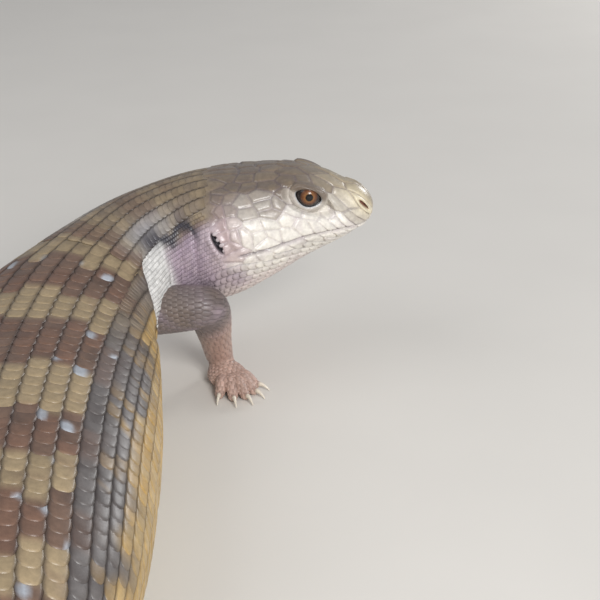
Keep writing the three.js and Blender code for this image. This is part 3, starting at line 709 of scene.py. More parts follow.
def under_brow(offset, up):
    """Flattens the top of the eyeball and of its lids, so that they stay under the brow."""
    over = np.maximum(offset @ up - BROW["start"], 0)
    return offset - (over * BROW["share"])[..., None] * up


def lid_solid(side):
    """The two lids of one eye as a closed ring, thin at the rim, with fine ridges over them."""
    middle, out, back, up = eye_frame(side)
    turn = np.arange(LID_STEPS) * 2 * math.pi / LID_STEPS
    level, high = np.cos(turn), np.sin(turn)
    tall = np.where(high > 0, LID_OPEN["up"], LID_OPEN["down"])
    rim = (np.abs(level / LID_OPEN["long"])**1.75 + np.abs(high / tall)**1.75)**(-1 / 1.75)
    far = np.interp(high, (-0.9, -0.3, 0.2, 0.8), (LID_OPEN["reach"], 90, 92, LID_OPEN["under"]))
    share = np.concatenate([np.linspace(0, 0.2, 9), np.linspace(0.26, 1, 22)])
    upper = ramp(high, -0.1, 0.35)
    rings = []
    for t in share:
        thick = 0.12 + 0.72 * math.sqrt(1 - (1 - min(t / 0.16, 1))**2)
        thick += 0.25 * math.sin(math.pi * min(t * 1.2, 1))
        ridge = 0.13 * np.cos((t - 0.1) * 2 * math.pi * 4.2) * ramp(t, 0.14, 0.24) * ramp(t, 1, 0.8)
        grains = 0.3 * np.abs(np.sin(turn * 16 + 2.2 * math.floor(t * 6)))
        grains = grains * abs(math.sin(t * 6 * math.pi)) * ramp(t, 0.06, 0.2)
        sunk = LID_SUNK * upper * ramp(t, 0.2, 0.9)
        radius = EYE["radius"] + thick - sunk + ridge * upper + grains * (1 - upper)
        rings.append((rim + (far - rim) * t, radius))
    for t in np.linspace(1, 0, 9):
        inner = EYE["radius"] + 0.05 - LID_SUNK * upper * ramp(t, 0.2, 0.9)
        rings.append((rim + (far - rim) * t, inner))
    points = []
    reach = level[:, None] * back + high[:, None] * up
    for spread, radius in rings:
        a = np.radians(spread)[:, None]
        stretch = 1 + 0.22 * ramp(spread, 40, 80)[:, None] * (level**2)[:, None]
        offset = radius[:, None] * (np.cos(a) * out + np.sin(a) * reach * stretch)
        points.append(middle + under_brow(offset, up))
    count = len(points)
    k = np.arange(count)[:, None] * LID_STEPS
    j = np.arange(LID_STEPS)[None, :]
    after = (j + 1) % LID_STEPS
    over = (np.arange(count)[:, None] + 1) % count * LID_STEPS
    quads = np.stack([k + j, k + after, over + after, over + j], -1).reshape(-1, 4)
    mirror = np.cross(back, up).dot(out) < 0
    return np.concatenate(points), [quads if mirror else quads[:, ::-1]]


def body_solid(sizes):
    """The body as one closed surface with the relief of the head, and where each point lies."""
    rings = skin_rings()
    share = (np.arange(SKIN_COLUMNS) + 0.5) * 2 / SKIN_COLUMNS - 1
    s = np.repeat(rings, SKIN_COLUMNS)
    q = (half_girth(rings)[:, None] * share[None, :]).ravel()
    return skin_point(s, q, 0.0, sizes), tube_faces(len(rings), SKIN_COLUMNS), s, q


def outward(piece):
    """Turns the faces of a closed piece outward."""
    mesh = piece.data
    mesh.calc_loop_triangles()
    count = len(mesh.loop_triangles)
    index = np.empty(count * 3, np.int32)
    mesh.loop_triangles.foreach_get("vertices", index)
    spots = mesh_points(mesh)[index.reshape(-1, 3)]
    volume = (np.cross(spots[:, 0], spots[:, 1]) * spots[:, 2]).sum()
    if volume < 0:
        mesh.flip_normals()
    return piece


def mesh_points(mesh):
    spots = np.empty(len(mesh.vertices) * 3, np.float32)
    mesh.vertices.foreach_get("co", spots)
    return spots.reshape(-1, 3).astype(float) / MM


def nearest(tree, points):
    """Index and distance of the nearest point of a tree for each point."""
    found = [tree.find(p) for p in points]
    return np.array([f[1] for f in found]), np.array([f[2] for f in found])


def point_tree(points):
    tree = KDTree(len(points))
    for k, p in enumerate(points):
        tree.insert(p, k)
    tree.balance()
    return tree


def soften_seams(mesh, points, weight, passes):
    """Moves points towards their neighbours by their weight, several times."""
    edges = np.empty(len(mesh.edges) * 2, np.int32)
    mesh.edges.foreach_get("vertices", edges)
    a, b = edges.reshape(-1, 2).T
    weight = np.where(weight > 0.01, weight, 0)
    near = weight > 0
    kept = near[a] | near[b]
    a, b = a[kept], b[kept]
    count = np.bincount(a, minlength=len(points)) + np.bincount(b, minlength=len(points))
    count = np.maximum(count, 1)[:, None]
    for _ in range(passes):
        total = np.stack([
            np.bincount(a, points[b, k], len(points)) + np.bincount(b, points[a, k], len(points))
            for k in range(3)], -1)
        points = points + (total / count - points) * weight[:, None] * 0.6
    return points


# Markings, the same on skin and scales

def mix(a, b, t):
    t = np.asarray(t, float)[..., None]
    return np.asarray(a) * (1 - t) + np.asarray(b) * t


def bar_amount(s, g):
    """How much of a light bar lies at a place of the back, from 0 to 1."""
    column = np.floor(g / 5.8)
    shift = np.sin(column * 2.3 + np.floor(s / 33) * 1.7) * 2.2
    amount = np.zeros(np.shape(s))
    for middle, half in BARS:
        reach = half * (1 - 0.12 * np.cos(column * 1.9 + middle))
        edge = np.abs(s - middle - shift)
        amount = np.maximum(amount, ramp(edge, reach + 1.2, reach - 1.2))
    return amount


def marking(s, q, colours):
    """Colour of the skin at s behind the snout and q round from the crown."""
    side = np.where(q < 0, 31.0, 0.0)
    g = np.abs(q)
    half = half_girth(s)
    level = g + (g * 95 / np.maximum(half, 1) - g) * ramp(s, 240, 320)
    patch = mottle(s + side, g, 7, 1)
    small = mottle(s + side, g, 2.6, 2)
    back = mix(colours.brown, colours.rust, 0.75 * ramp(patch, 0.35, 0.7))
    back = mix(back, colours.umber, 0.35 * ramp(small, 0.5, 0.9))
    bars = bar_amount(s, g) * ramp(level, 24.5, 22)
    tan = mix(colours.bar, colours.brown, 0.3 * ramp(small, 0.6, 0.9))
    back = mix(back, tan, bars)
    streaks = ramp(mottle(s - 0.9 * g + side, g * 0.35, 3.4, 3), 0.55, 0.74)
    reach = np.interp(s, (95, 110, 130, 150, 180, 230, 300), (32, 31, 32, 37, 38, 37, 34))
    # Flank lighter and tanner behind the shoulder: partly the bar colour reaching down, partly a painted pool
    # of light
    flank = mix(colours.flank, colours.bar, 0.55 * bump(s, 122, 20))
    flank = mix(flank, colours.umber, 0.4 * ramp(small, 0.45, 0.8))
    flank = mix(flank, colours.ochre, 0.45 * streaks * ramp(level, 25, 33))
    flank = mix(flank, colours.rust, 0.35 * bar_amount(s + 16, g) * ramp(level, 31, 26))
    shade = mix(back, flank, ramp(level, 21, 25))
    low = mix(colours.ochre, colours.belly, 0.35 * small)
    shade = mix(shade, low, ramp(level + 9 * (patch - 0.5), reach - 2, reach + 4))
    shade = mix(shade, colours.belly, 0.85 * ramp(level, 56, 70))
    for at, around, radius in FLECKS:
        away = np.hypot((s - at) * 0.7, (g - around) * 1.6) + 0.6 * (small - 0.5)
        shade = mix(shade, colours.fleck, 0.85 * ramp(away, radius, radius - 0.9))
    return neck_marking(s, g, side, small, shade, colours)


def whole_shields(s, g, side):
    """Moves places on the head towards the root of their shield, and gives each shield a shade."""
    flat_s, flat_g = np.ravel(s), np.ravel(g)
    new_s, new_g, own = flat_s.copy(), flat_g.copy(), np.ones(flat_s.shape)
    head = flat_s < HEAD_END
    if head.any():
        which = nearest_shields(flat_s[head], flat_g[head])[0]
        roots = np.abs(shield_roots()[which])
        new_s[head] += 0.7 * (roots[:, 0] - flat_s[head])
        new_g[head] += 0.7 * (roots[:, 1] - flat_g[head])
        own[head] = 0.93 + 0.14 * grain(9)[which % 128, np.ravel(side)[head].astype(int) % 128]
    return new_s.reshape(np.shape(s)), new_g.reshape(np.shape(s)), own.reshape(np.shape(s))


def neck_marking(s, g, side, small, shade, colours):
    """Lays the colours of the head and neck over those of the back."""
    spot = (s, g)
    lip = mouth_line(s)
    nape = mix(colours.crown, colours.bar, 0.3 + 0.35 * ramp(small, 0.4, 0.7))
    nape = mix(nape, colours.brown, 0.5 * (1 - bar_amount(s, g)) * ramp(s, 56, 64))
    # Painted highlight: a pale bluish sheen over the nape scales behind the head
    nape = mix(nape, colours.fleck, 0.5 * bump(s, 78, 13) * bump(g, 14.5, 4.5))
    shade = mix(shade, nape, ramp(s, 104, 84) * ramp(g, 24, 19))
    pale = mix(colours.cheek, colours.fleck, 0.4)
    before = s - np.interp(g, *FOLD)
    shade = mix(shade, pale, ramp(before, 0.5, -0.5) * ramp(s, 68, 76) * ramp(g, 17, 20))
    side_neck = mix(colours.neck, colours.throat, 0.22 * small + 0.3 * ramp(s, 60, 50))
    shade = mix(shade, side_neck, ramp(s, 79, 70) * ramp(g, 20, 25))
    shade = mix(shade, colours.throat, ramp(s, 100, 80) * ramp(g, 40, 50))
    streak = np.interp(s, (56, 59, 63, 69, 75, 84), (24, 20, 18.5, 21.5, 18, 17))
    dark = bump(g, streak + 1.5 * (small - 0.5), 2.7) * ramp(s, 54, 58) * ramp(s, 90, 78)
    shade = mix(shade, colours.streak, 0.95 * dark)
    s, g, own = whole_shields(s, g, side)
    crown = mix(colours.crown, colours.bar, 0.25 * ramp(small, 0.4, 0.8) + 0.35 * ramp(s, 16, 4))
    crown = mix(crown, colours.nose, 0.22 * ramp(s, 24, 8))
    cheek = mix(colours.cheek, colours.neck, 0.22 * ramp(small, 0.45, 0.85))
    by_ear = mix(colours.neck, colours.finger, 0.5)
    cheek = mix(cheek, by_ear, 0.85 * ramp(s, 37, 47) * ramp(g, lip + 6, lip - 1))
    border = np.interp(s, (0, 8, 14, 24, 27, 36, 45, 52), (6.5, 9, 11.5, 14.5, 22.5, 24, 22.5, 23))
    cheek = mix(cheek, mix(crown, cheek, 0.5), ramp(g, 19, 16) * ramp(s, 20, 15))
    # Temple shields paler towards the cheek: partly their own paler colour, partly painted highlight for
    # their glints
    crown = mix(crown, cheek, 0.42 * ramp(g, 12, 20) * ramp(s, 24, 28))
    head = mix(crown, cheek, ramp(g, border - 1.6, border + 2.2)) * own[..., None]
    s, g = spot
    head = mix(head, colours.nose, 0.9 * bump(np.hypot(s - NOSTRIL["s"], g - NOSTRIL["g"]), 0, 4.4))
    head = mix(head, colours.throat, 0.8 * ramp(g, lip + 6, lip + 13) * ramp(s, 10, 34))
    # Neck pink purple carried forward under the jaw corner: partly its real colour, partly painted shade
    # under the jaw
    head = mix(head, colours.neck, 0.75 * ramp(s, 38, 46) * ramp(g, lip + 2, lip + 6) * ramp(g, 52, 44))
    shade = mix(shade, head, ramp(s, HEAD_END, HEAD_END - 5))
    # Painted shade in the groove between the lips: a dark line of the neck's pink
    lip_slit_shade = bump(g - lip, 0, 0.4) * ramp(s, 45, 42)
    shade = mix(shade, np.array(colours.neck) * 0.4, 0.7 * lip_slit_shade)
    # Painted shade: the ear opening coloured near black with the streak colour
    shade = mix(shade, colours.streak, 0.9 * ramp(ear_share(s, g), 1.05, 0.75))
    return mix(shade, colours.nostril, 0.95 * ramp(nostril_share(s, g), 1.0, 0.7))


def limb_marking(points, colours):
    """Colour of the legs and feet, paler and pinker towards the toes."""
    shade = np.tile(np.array(colours.arm), (len(points), 1))
    patch = mottle(points[:, 0] + points[:, 2], points[:, 1] - points[:, 2], 4.5, 5)
    shade = mix(shade, colours.crown, 0.5 * ramp(patch, 0.5, 0.8))
    shade = mix(shade, colours.neck, 0.3 * ramp(patch, 0.45, 0.15))
    under = ramp(points[:, 2], 12, 2)
    shade = mix(shade, colours.belly, 0.35 * under)
    for limb in LIMBS.values():
        ankle = from_course(limb["ankle"])
        ahead = heading_of(limb["heading"])
        toes = ankle + ahead * 11
        away = np.linalg.norm((points - toes) * (1, 1, 0.6), axis=1)
        shade = mix(shade, colours.finger, 0.85 * ramp(away, 17, 8))
    return shade


# Plates: one scale is a small overlapping plate, all of them made from one pattern

# Plates lie on skin no further than this from the plain body, in millimetres
OPEN_SKIN = 0.9
# Each plate takes a patch this large of the map of its coat
PATCH = 0.003
# Points across and along each plate of the legs
LEG_GRID = (6, 6)
# A plate of a leg is left out where the skin is further than this from it, in millimetres
LEG_SKIN = 1.7


def plate_pattern(across_steps, back_steps):
    """Grid of one plate with its edge turned down: across, back, lift, and its faces."""
    u, v = np.meshgrid(np.linspace(-1, 1, across_steps), np.linspace(0, 1, back_steps))
    across = u * (0.94 + 0.1 * np.sin(math.pi * v) - 0.16 * v**3)
    back = v * (1 - 0.15 * np.abs(u)**3 * v**1.5)
    edge = np.maximum(np.abs(u)**7, v**9)
    lift = 0.1 + 0.9 * np.sin(0.5 * math.pi * v) * (1 - 0.42 * u**2) - 0.24 * edge
    k = np.arange(back_steps - 1)[:, None] * across_steps
    j = np.arange(across_steps - 1)[None, :]
    quads = np.stack([k + j, k + j + 1, k + j + 1 + across_steps, k + j + across_steps], -1).reshape(-1, 4)
    last = (back_steps - 1) * across_steps
    right = np.arange(back_steps) * across_steps + across_steps - 1
    left = np.arange(back_steps)[::-1] * across_steps
    front = np.arange(across_steps)
    rim = np.concatenate([right[:-1], last + front[::-1][:-1], left[:-1], front])
    skirt = np.arange(len(rim)) + across_steps * back_steps
    walls = np.stack([rim[:-1], rim[1:], skirt[1:], skirt[:-1]], -1)
    flat = (across.ravel(), back.ravel(), lift.ravel())
    full = [np.concatenate([part, part[rim]]) for part in flat]
    full[2][len(flat[2]):] = -0.35
    return full, np.concatenate([quads, walls[:, ::-1]])


def lay_plates(name, roots, sizes, surface, tint, spots, grid=(7, 8)):
    """Lays plates over a surface. Each root is along and around, each size wide, long and rise."""
    pattern = plate_pattern(*grid)
    across, back, lift = pattern[0]
    wide, long, rise = sizes
    first = roots[0][:, None] + back[None, :] * long[:, None]
    second = roots[1][:, None] + across[None, :] * wide[:, None]
    height = 0.05 + lift[None, :] * rise[:, None]
    points = surface(first, second, height)
    shade = tint(first, second, np.broadcast_to(across, first.shape), np.broadcast_to(back, first.shape))
    return plates_mesh(name, pattern, points, shade, np.stack(spots, -1))


def plates_mesh(name, pattern, points, shade, spots):
    """One mesh of all plates of a coat, each with its patch of the map."""
    (across, back, _), faces = pattern
    on_map = spots[:, None, :] + np.stack([back - 0.5, across * 0.5], -1)[None] * PATCH
    starts = (np.arange(len(points)) * len(across))[:, None, None]
    faces = (faces[None] + starts).reshape(-1, 4)
    return make_mesh(name, points.reshape(-1, 3), [faces], shade.reshape(-1, 3), on_map.reshape(-1, 2))


def plate_shade(base, across, back, seed, dark, strength):
    """Darkens each plate's sides (dark seams, partly real, partly painted shade) and its front (painted shade
    under the plate before); gives each a tone of its own.
    """
    rng = np.random.default_rng(seed)
    own = rng.normal(1, 0.07, (base.shape[0], 1, 1))
    # Sides: dark seams, partly real colour and partly painted shade; front: painted shade under the plate
    # before
    edge = strength * np.maximum(ramp(np.abs(across), 0.58, 0.94), 0.3 * ramp(back, 0.5, 0.3))
    return mix(base * own, dark, edge)


def skin_tree():
    skin = bpy.data.objects["skin"]
    points = mesh_points(skin.data)
    faces = [tuple(p.vertices) for p in skin.data.polygons]
    return BVHTree.FromPolygons([tuple(p) for p in points], faces)


def columns(half, width, narrow):
    """Middle and width of each column of plates round one side, narrower on the flank."""
    edge = 0.0
    found = []
    while edge < half - 0.65 * width:
        own = width * (1 - narrow * bump(edge, 33, 11))
        found.append((edge + 0.5 * own, own))
        edge += own
    return found


def body_lattice(low, high, pitch, wide, narrow=0.0):
    """Roots of plates in columns along the body, each second column half a step back."""
    along_body = [low]
    while along_body[-1] < high:
        along_body.append(along_body[-1] + float(pitch(along_body[-1])))
    found = []
    for s in along_body:
        for column, (q, width) in enumerate(columns(half_girth(s), float(wide(s)), narrow)):
            at = s + (column % 2) * float(pitch(s)) / 2
            for side in (1, -1):
                found.append((at, side * q, width, float(pitch(s))))
    return np.array(found).T


def clear_of_limbs(tree, s, q, sizes):
    """Which roots lie on open skin, and how far the skin is from the plain body there."""
    points = skin_point(s, q, 0.0, sizes)
    shift = np.zeros((len(s), 3))
    kept = np.zeros(len(s), bool)
    for k, p in enumerate(points):
        spot, _, _, away = tree.find_nearest(p)
        kept[k] = away < OPEN_SKIN
        shift[k] = np.array(spot) - p
    return kept, shift


def body_coat(name, chosen, tree, scene, rise, longer, seed, grid=(7, 8), edging=1.0):
    """Lays a coat of plates on the body at chosen places. Rise is in millimetres."""
    sizes, colours = scene.skink_sizes, scene.skink_colours
    kept, shift = clear_of_limbs(tree, chosen[0], chosen[1], sizes)
    s, q, wide, pitch = chosen[:, kept]
    shift = shift[kept]
    shift[np.linalg.norm(shift, axis=1) <= 0.04] = 0

    def surface(first, second, height):
        return over_floor(skin_point(first, second, height, sizes) + shift[:, None, :])

    def tint(first, second, across, back):
        base = marking(first + 0.45 * (s[:, None] - first), second + 0.6 * (q[:, None] - second), colours)
        # Seam colour: a darker copy of the scale's own colour as painted shade, mixed with the real dark seam
        # colour
        dark = mix(base * 0.38, colours.umber, 0.5 * edging)
        amount = edging * (0.72 * ramp(np.abs(second), 60, 25) + 0.2)
        return plate_shade(base, across, back, seed, dark, amount)

    low, high = s.min(), s.max()
    spots = (0.02 + 0.96 * (s - low) / (high - low), 0.5 + 0.48 * q / half_girth(s))
    lifts = rise * (0.45 + 0.55 * ramp(s, low, low + 9))
    half_sizes = (wide * 0.535, pitch * longer, lifts)
    piece = lay_plates(name, (s - pitch * 0.75, q), half_sizes, surface, tint, spots, grid)
    finish_with(piece, scale_material(), [])


# Materials

def add(tree, kind, settings, links=()):
    """Adds one node with its settings, and links its sockets from others."""
    node = tree.nodes.new(kind)
    for key, value in settings.items():
        if isinstance(key, int) or key in node.inputs:
            node.inputs[key].default_value = value
        else:
            setattr(node, key, value)
    for socket, source in links:
        tree.links.new(source, node.inputs[socket])
    return node


def material(name):
    made = bpy.data.materials.new(name)
    made.use_nodes = True
    made.node_tree.nodes.clear()
    return made, made.node_tree


def tinted_material(name, rough, coat, patch, grit, grit_height, strength, ior=1.5):
    """A finish coloured by the tint of the mesh, with soft patches and a fine grit."""
    if name in bpy.data.materials:
        return bpy.data.materials[name]
    made, tree = material(name)
    tint = add(tree, "ShaderNodeAttribute", {"attribute_name": "tint"})
    spot = add(tree, "ShaderNodeTexCoord", {})
    patches = add(tree, "ShaderNodeTexNoise", {"Scale": 1 / (patch * MM), "Detail": 3.0, "Roughness": 0.6},
                  [("Vector", spot.outputs["Object"])])
    shade = add(tree, "ShaderNodeMapRange", {"From Min": 0.3, "From Max": 0.7, "To Min": 0.84, "To Max": 1.1},
                [("Value", patches.outputs["Fac"])])
    mixed = add(tree, "ShaderNodeMix", {"data_type": "RGBA", "blend_type": "MULTIPLY", 0: 1.0},
                [(6, tint.outputs["Color"]), (7, shade.outputs["Result"])])
    fine = add(tree, "ShaderNodeTexNoise", {"Scale": 1 / (grit * MM), "Detail": 3.0, "Roughness": 0.55},
               [("Vector", spot.outputs["Object"])])
    gloss = add(tree, "ShaderNodeMapRange", {
        "From Min": 0.3, "From Max": 0.7, "To Min": rough - 0.06, "To Max": rough + 0.08},
        [("Value", fine.outputs["Fac"])])
    raised = add(tree, "ShaderNodeBump", {"Strength": strength, "Distance": grit_height * MM},
                 [("Height", fine.outputs["Fac"])])
    shader = add(
        tree, "ShaderNodeBsdfPrincipled", {"Coat Weight": coat, "Coat Roughness": 0.22, "IOR": ior},
        [("Base Color", mixed.outputs[2]), ("Roughness", gloss.outputs["Result"]),
         ("Normal", raised.outputs["Normal"])])
    add(tree, "ShaderNodeOutputMaterial", {}, [("Surface", shader.outputs["BSDF"])])
    return made


def finish_with(piece, made, nodes):
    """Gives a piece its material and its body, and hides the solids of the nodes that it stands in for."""
    piece.data.materials.clear()
    piece.data.materials.append(made)
    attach(piece, "root")
    if nodes:
        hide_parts(*nodes)


def scale_material():
    """Keratin scales, smooth and waxy: small soft glints, with faint growth marks."""
    return tinted_material(
        "smooth keratin scale", rough=0.42, coat=0.1, patch=1.6, grit=0.35, grit_height=0.12, strength=0.35)


def hide_material():
    """Reptile hide between and under the scales: softer and duller than the scales."""
    return tinted_material(
        "soft reptile hide", rough=0.33, coat=0.3, patch=1.3, grit=0.45, grit_height=0.16, strength=0.5)


FLESH_NODES = (
    ["head", "neck", "chest", "belly", "hips", "tail_base", "tail_middle", "tail_tip"]
    + [limb + "_" + part for limb in LIMBS for part in ("upper", "lower", "foot")]
)


# Points of two surfaces closer than this are one and the same, in millimetres
SAME = 0.003
# How far from a seam the skin is softened, by a leg and by a lid, and how many times
SEAM = {"leg": 3.2, "lid": 0.45, "times": 14}


class SKINK_OT_skin(bpy.types.Operator):
    """Makes the one skin of body, head, lids and legs"""
    bl_idname = "skink.skin"
    bl_label = "Skin"

    def execute(self, context):
        sizes, colours = context.scene.skink_sizes, context.scene.skink_colours
        points, faces, s, q = body_solid(sizes)
        skin = outward(make_mesh("skin", points, faces))
        extras = []
        for name, limb in LIMBS.items():
            tubes = limb_tubes(limb)
            solid = fused(name, [tube_solid(*tube) for tube in tubes.values()], 0.45, 3)
            extras.append(outward(solid))
        for side, name in ((1, "right_lids"), (-1, "left_lids")):
            extras.append(outward(make_mesh(name, *lid_solid(side))))
        added = np.concatenate([mesh_points(extra.data) for extra in extras])
        for extra in extras:
            union = skin.modifiers.new("Union", "BOOLEAN")
            union.operation = "UNION"
            union.solver = "MANIFOLD"
            union.object = extra
        applied(skin)
        for extra in extras:
            bpy.data.objects.remove(extra)
        mesh = skin.data
        joined = mesh_points(mesh)
        body_tree = point_tree(points)
        index, away = nearest(body_tree, joined)
        fresh = np.flatnonzero(away > SAME)
        _, from_added = nearest(point_tree(added), joined[fresh])
        seam = joined[fresh[from_added > SAME]]
        if len(seam):
            _, to_seam = nearest(point_tree(seam), joined)
            limb_side = np.linalg.norm(joined - place(EYE["s"], 0, 0), axis=1) > 40
            weight = np.exp(-(to_seam / np.where(limb_side, SEAM["leg"], SEAM["lid"]))**2)
            joined = soften_seams(mesh, joined, weight, SEAM["times"])
        joined = over_floor(joined, 0.05)
        mesh.vertices.foreach_set("co", (joined * MM).astype(np.float32).ravel())
        shade = marking(s[index], q[index], colours)
        on_limb = ramp(away, 1.5, 7) * (joined[:, 2] < 42)
        shade = mix(shade, limb_marking(joined, colours), on_limb)
        shade = self.lids(joined, shade, colours)
        shade = self.grooves(s[index], q[index], shade, colours, away)
        set_tint(mesh, shade)
        mesh.shade_smooth()
        finish_with(skin, hide_material(), FLESH_NODES)
        return {"FINISHED"}

    def lids(self, points, shade, colours):
        """Colours the lids: dark folds above, a bluish white rim below."""
        for side in (1, -1):
            middle, out, _, up = eye_frame(side)
            offset = points - middle
            far = np.linalg.norm(offset, axis=1)
            high = offset @ up
            near = ramp(far, 6.6, 6.0) * ramp(offset @ out, 0.5, 1.5)
            tone = mix(mix(colours.crown, colours.cheek, 0.42), colours.crown, ramp(high, -1.0, 1.6))
            rim = ramp(far, 5.2, 4.95) * ramp(high, 2.0, -0.6)
            tone = mix(tone, np.array(colours.fleck) * 0.7, 0.85 * rim)
            shade = mix(shade, tone, 0.9 * near)
        return shade

    def grooves(self, s, q, shade, colours, away):
        """Colours the grooves between the head shields: real pink skin between them, with painted shade in
        the grooves.
        """
        head = (s < HEAD_END) & (away < 0.5)
        border = np.full(len(s), 9.0)
        _, border[head], _ = nearest_shields(s[head], q[head])
        g = np.abs(q)
        row = mouth_line(s) + LIP_ROW
        depth = ramp(border, 0.42, 0.06) * ramp(s, HEAD_END, HEAD_END - 4) * ramp(g, row + 0.8, row - 0.6)
        pale = ramp(g, 18, 22)
        # Painted shade in the grooves: the colour darkened, mixed with the real pink of the skin between the
        # shields
        return mix(shade, mix(shade * 0.45, colours.neck, 0.3 + 0.4 * pale), (0.55 - 0.25 * pale) * depth)


def round_ways(a, turn, first, second, third):
    """Ways out from a middle: the first at the pole, the others round it."""
    return (np.cos(a)[..., None] * first + (np.sin(a) * np.cos(turn))[..., None] * second
            + (np.sin(a) * np.sin(turn))[..., None] * third)


class SKINK_OT_eyes(bpy.types.Operator):
    """Makes the two eyeballs with iris and pupil"""
    bl_idname = "skink.eyes"
    bl_label = "Eyes"

    def execute(self, context):
        colours = context.scene.skink_colours
        # A wet, clear cornea over a copper iris: one small sharp highlight over warm rings
        made = tinted_material("wet cornea over copper iris", rough=0.14, coat=0.35, patch=0.5, grit=0.3,
                               grit_height=0.01, strength=0.02, ior=1.376)
        for side, name in ((1, "eye_right"), (-1, "eye_left")):
            middle, out, back, up = eye_frame(side)
            aim = out + up * 0.14 + back * 0.05
            aim /= np.linalg.norm(aim)
            first = np.cross(aim, up)
            first /= np.linalg.norm(first)
            second = np.cross(aim, first)
            rings, sides = 90, 96
            a = np.linspace(0.012, math.pi - 0.012, rings)[:, None]
            turn = np.arange(sides)[None, :] * math.tau / sides
            hidden = 1 - 0.34 * ramp(a, 0.98, 1.5)
            ball = EYE["radius"] * 0.985 * hidden + 0.22 * np.exp(-(a / 0.5)**4)
            ways = round_ways(a, turn, aim, first, second)
            points = middle + under_brow(ball[..., None] * ways, up)
            spread = np.broadcast_to(a * EYE["radius"], (rings, sides))
            rays = mottle(turn * 12 / math.tau * 4, a * 2, 1, 7)
            iris = mix(colours.iris, colours.ochre, 0.16 * rays)
            iris = mix(iris, colours.pupil, 0.5 * ramp(spread, 1.7, 2.6))
            iris = mix(iris, colours.ochre, 0.22 * bump(spread, 1.4, 0.3))
            iris = mix(iris, np.array(colours.umber) * 0.45, ramp(spread, 2.6, 3.0))
            tint = mix(colours.pupil, iris, ramp(spread, 1.08, 1.24))
            piece = make_mesh("eyeball_" + name[4:], points.reshape(-1, 3), tube_faces(rings, sides),
                              tint.reshape(-1, 3))
            finish_with(outward(piece), made, [name])
        return {"FINISHED"}


class SKINK_OT_back_scales(bpy.types.Operator):
    """Lays the scales of the nape, back, flanks and belly"""
    bl_idname = "skink.back_scales"
    bl_label = "Back scales"

    def execute(self, context):
        scene = context.scene
        tree = skin_tree()
        pitch = scene.skink_sizes.scale_pitch / MM
        wide = scene.skink_sizes.scale_wide / MM
        rise = scene.skink_sizes.scale_rise / MM
        low = 0.6 * rise
        nape = body_lattice(
            49, 97, lambda s: 0.5 * pitch, lambda s: wide * np.interp(s, (49, 97), (0.74, 0.9)))
        s, q = nape[0], np.abs(nape[1])
        upper = (s > np.interp(q, (0, 8, 16, 18.6), (49, 49, 51, 52))) & (q < 18.6)
        behind = s > np.interp(q, *FOLD) - 0.8
        nape = nape[:, (upper | behind) & (s < 97)]
        body_coat("nape_scales", nape, tree, scene, low, 1.7, seed=11, grid=(7, 6))
        shoulder = body_lattice(97, 136, lambda s: 0.5 * pitch, lambda s: 0.92 * wide)
        s, q = shoulder[0], np.abs(shoulder[1])
        shoulder = shoulder[:, self.shoulder(s, q) & (s > np.interp(q, *FOLD) - 0.8)]
        body_coat("shoulder_scales", shoulder, tree, scene, low, 1.7, seed=14, grid=(7, 6))
        trunk = body_lattice(
            97, 302, lambda s: pitch,
            lambda s: wide * np.interp(s, (97, 110, 260, 310), (0.9, 1, 1, 0.88)), narrow=0.36)
        s, q = trunk[0], np.abs(trunk[1])
        trunk = trunk[:, ~self.shoulder(s, q) & (s > np.interp(q, (40, 60), (97, 104)))]
        front = trunk[0] < 190
        body_coat("back_scales", trunk[:, front], tree, scene, rise, 1.62, seed=12)
        body_coat("rump_scales", trunk[:, ~front], tree, scene, rise, 1.62, seed=13)
        return {"FINISHED"}

    def shoulder(self, s, q):
        """Where the scales behind the shoulder lie close together, one over the other."""
        return (q > 20) & (q < 40) & (s < np.interp(q, (20, 26, 34, 40), (110, 132, 132, 118)))


class SKINK_OT_tail_scales(bpy.types.Operator):
    """Lays the scales of the tail"""
    bl_idname = "skink.tail_scales"
    bl_label = "Tail scales"

    def execute(self, context):
        scene = context.scene
        tree = skin_tree()
        sizes = scene.skink_sizes
        at = (300, 400, 497)
        roots = body_lattice(
            303, 495, lambda s: np.interp(s, at, (0.95, 0.8, 0.5)) * sizes.scale_pitch / MM,
            lambda s: np.interp(s, at, (0.88, 0.68, 0.42)) * sizes.scale_wide / MM)
        body_coat("tail_scales", roots, tree, scene, sizes.scale_rise / MM * 0.85, 1.62, seed=21)
        return {"FINISHED"}


class SKINK_OT_neck_scales(bpy.types.Operator):
    """Lays the small scales of the throat and the side of the neck"""
    bl_idname = "skink.neck_scales"
    bl_label = "Neck scales"

    def execute(self, context):
        scene = context.scene
        tree = skin_tree()
        large = scene.skink_sizes.throat_scale / MM
        fine = scene.skink_sizes.fine_scale / MM
        throat = body_lattice(5, 52, lambda s: large * 0.88, lambda s: large)
        s, q = throat[0], np.abs(throat[1])
        clear = np.interp(s, (0, 6, 10, 40, 46, 52), (7, 5, 4.0, 3.8, 3.2, 4.5))
        throat = throat[:, q > mouth_line(s) + clear]
        body_coat(
            "throat_scales", throat, tree, scene, 0.55, 1.6, seed=31, grid=(7, 7), edging=0.6)
        neck = body_lattice(45, 104, lambda s: fine * 0.92, lambda s: fine)
        s, q = neck[0], np.abs(neck[1])
        top = np.interp(s, (45, 50, 51.5, 53, 60, 86, 92, 104), (60, 34, 22, 18.2, 18.3, 18.2, 22, 34))
        low = np.interp(s, (45, 52, 56, 104), (36, 40, 70, 70))
        folded = s < np.interp(q, *FOLD) - 0.5
        neck = neck[:, (q > top) & (q < low) & (ear_share(s, q, 0.5, 0.9) > 1) & folded]
        body_coat("neck_scales", neck, tree, scene, 0.13, 1.6, seed=32, grid=(5, 5), edging=0.3)
        return {"FINISHED"}


